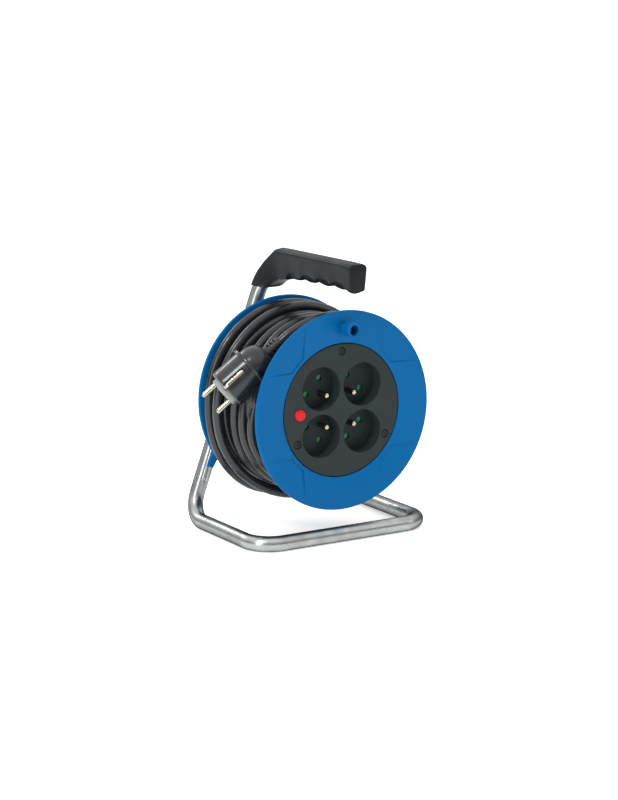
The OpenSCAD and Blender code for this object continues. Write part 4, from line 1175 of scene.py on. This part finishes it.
@dataclass
class Studio:
    """Camera, floor, room and lamps."""

    place: Place
    camera_at: tuple[float, float, float] = (-1149.2, -1799.8, 454.6)
    aim: tuple[float, float, float] = (-23.78, 16.9, 8.81)
    lens_mm: float = 110.88
    floor_m: float = 60.0
    room_low: float = 0.2
    room_high: float = 1.3
    room_rear: float = 0.4
    floor_glow: float = 0.4
    lamp_aim: tuple[float, float, float] = (0, 0, 0.12)
    lamps: tuple[Lamp, ...] = (
        Lamp("rim_lamp", (-0.5, 1.5, 1.1), (0.9, 0.15), 5),
        Lamp("key_lamp", (-1.4, -0.65, 1.75), (0.3, 0.3), 10),
        Lamp("strip_lamp", (-1.3, -0.6, 0.5), (0.36, 0.9), 5.5),
        Lamp("fill_lamp", (1.6, -1.4, 0.9), (0.4, 1.0), 3),
    )

    def camera(self) -> None:
        """A camera that looks at the aim, level, with a long lens."""
        data = bpy.data.cameras.new("camera")
        data.sensor_width = 36
        data.lens = self.lens_mm
        data.clip_start, data.clip_end = 0.1, 200
        made = linked("camera", data)
        made.matrix_world = facing(self.place.metres(self.camera_at), self.place.metres(self.aim))
        bpy.context.scene.camera = made

    def floor(self) -> None:
        """A plain pale floor, far wider than the view."""
        half = self.floor_m / 2
        mesh = bpy.data.meshes.new("floor")
        mesh.from_pydata([(-half, -half, 0), (half, -half, 0), (half, half, 0), (-half, half, 0)], [], [(0, 1, 2, 3)])
        material = bpy.data.materials.new("pale_floor")
        material.use_nodes = True
        t = Tree(material.node_tree)
        shader = t.add(
            "ShaderNodeBsdfPrincipled",
            {
                "Base Color": linear("#F7F7F7"), "Roughness": 0.9, "Specular IOR Level": 0.1,
                "Emission Color": linear("#FFFFFF"), "Emission Strength": self.floor_glow,
            },
        )
        t.add("ShaderNodeOutputMaterial", {"Surface": shader.outputs["BSDF"]})
        mesh.materials.append(material)
        linked("floor", mesh)

    def light(self) -> None:
        """A white room, brighter above and behind, with a rim lamp, a key, a strip at the left and a fill."""
        world = bpy.data.worlds.new("room")
        bpy.context.scene.world = world
        world.use_nodes = True
        t = Tree(world.node_tree)
        where = t.add("ShaderNodeTexCoord").outputs["Generated"]
        split = t.add("ShaderNodeSeparateXYZ", {"Vector": where})
        high = t.add(
            "ShaderNodeMapRange",
            {"Value": split.outputs["Z"], "From Min": 0.1, "From Max": 0.8, "To Min": self.room_low,
             "To Max": self.room_high},
            interpolation_type="SMOOTHSTEP",
        ).outputs["Result"]
        rear = t.add(
            "ShaderNodeMapRange",
            {"Value": split.outputs["Y"], "From Min": 0.0, "From Max": 0.9, "To Min": 0.0, "To Max": self.room_rear},
            interpolation_type="SMOOTHSTEP",
        ).outputs["Result"]
        total = t.add("ShaderNodeMath", {0: high, 1: rear}, operation="ADD").outputs["Value"]
        sky = t.add("ShaderNodeBackground", {"Color": linear("#FFFFFF"), "Strength": total})
        t.add("ShaderNodeOutputWorld", {"Surface": sky.outputs["Background"]})
        for lamp in self.lamps:
            lamp.build(self.lamp_aim)
        bpy.context.scene.view_settings.view_transform = "Standard"

    def build(self) -> None:
        """Sets up the whole studio."""
        self.camera()
        self.floor()
        self.light()


# ---------------------------------------------------------------- the reel


@dataclass
class Reel:
    """All sub-assemblies of the reel, in the order in which they are made."""

    nodes: dict[str, bpy.types.Object]
    place: Place
    plug: Plug = field(default_factory=Plug)

    def dress_nodes(self) -> None:
        """Gives each CAD node its finish."""
        groups: dict[Finish, list[str]] = {
            Finish.TUBE: ["frame_tube"],
            Finish.BLUE: ["bearing_bracket", "rear_flange", "drum_core", "front_flange", "winding_knob"],
            Finish.PLATE: ["socket_plate"],
            Finish.GRIP: ["handle_grip"],
            Finish.SHEATH: ["cord_core", "cord_winding", "cord_tail"],
            Finish.PLUG: ["strain_relief", "plug_body"],
            Finish.NICKEL: ["earth_pins", "plug_pins", "plug_earth_clips"],
            Finish.RED: ["reset_button"],
            Finish.GREEN: ["shutter_tl", "shutter_tr", "shutter_bl", "shutter_br"],
            Finish.BLACK_SCREW: ["plate_screws"],
            Finish.STEEL: [
                "handle_screw", "bracket_screws", "axle", "axle_washer", "axle_screw", "flange_screws",
                "reset_spring", "shutter_springs", "clamp_screws", "knob_peg",
            ],
            Finish.BLACK: ["tube_end_cap", "thermal_cutout", "cable_clamp"],
            Finish.CREAM: ["contact_carrier", "contact_cover"],
            Finish.BRASS: ["earth_bar", "line_bar", "neutral_bar"],
            Finish.WIRE: ["lead_wires"],
        }
        for finish, names in groups.items():
            for name in names:
                dress(self.nodes[name].data, finish)

    def build(self) -> None:
        """Dresses the nodes and makes the pieces."""
        self.dress_nodes()
        plug = PlugBody(self.place, self.plug.axes)
        parts = [made.name for made in (plug.body(), plug.insert(), plug.contacts())]
        Cord(self.place, self.plug).build(("strain_relief", "plug_pins", *parts))
        Grip(self.place).build()
        Bracket(self.place).build(self.nodes["bearing_bracket"])
        LegGroove(self.place).build()
        SocketMarks(self.place).build()


def main() -> None:
    """Loads the frame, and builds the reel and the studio."""
    logging.basicConfig(level=logging.INFO, format="%(name)s: %(message)s")
    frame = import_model()
    place = Place.from_frame()
    Studio(place).build()
    Reel(frame["nodes"], place).build()


if __name__ == "__main__":
    main()
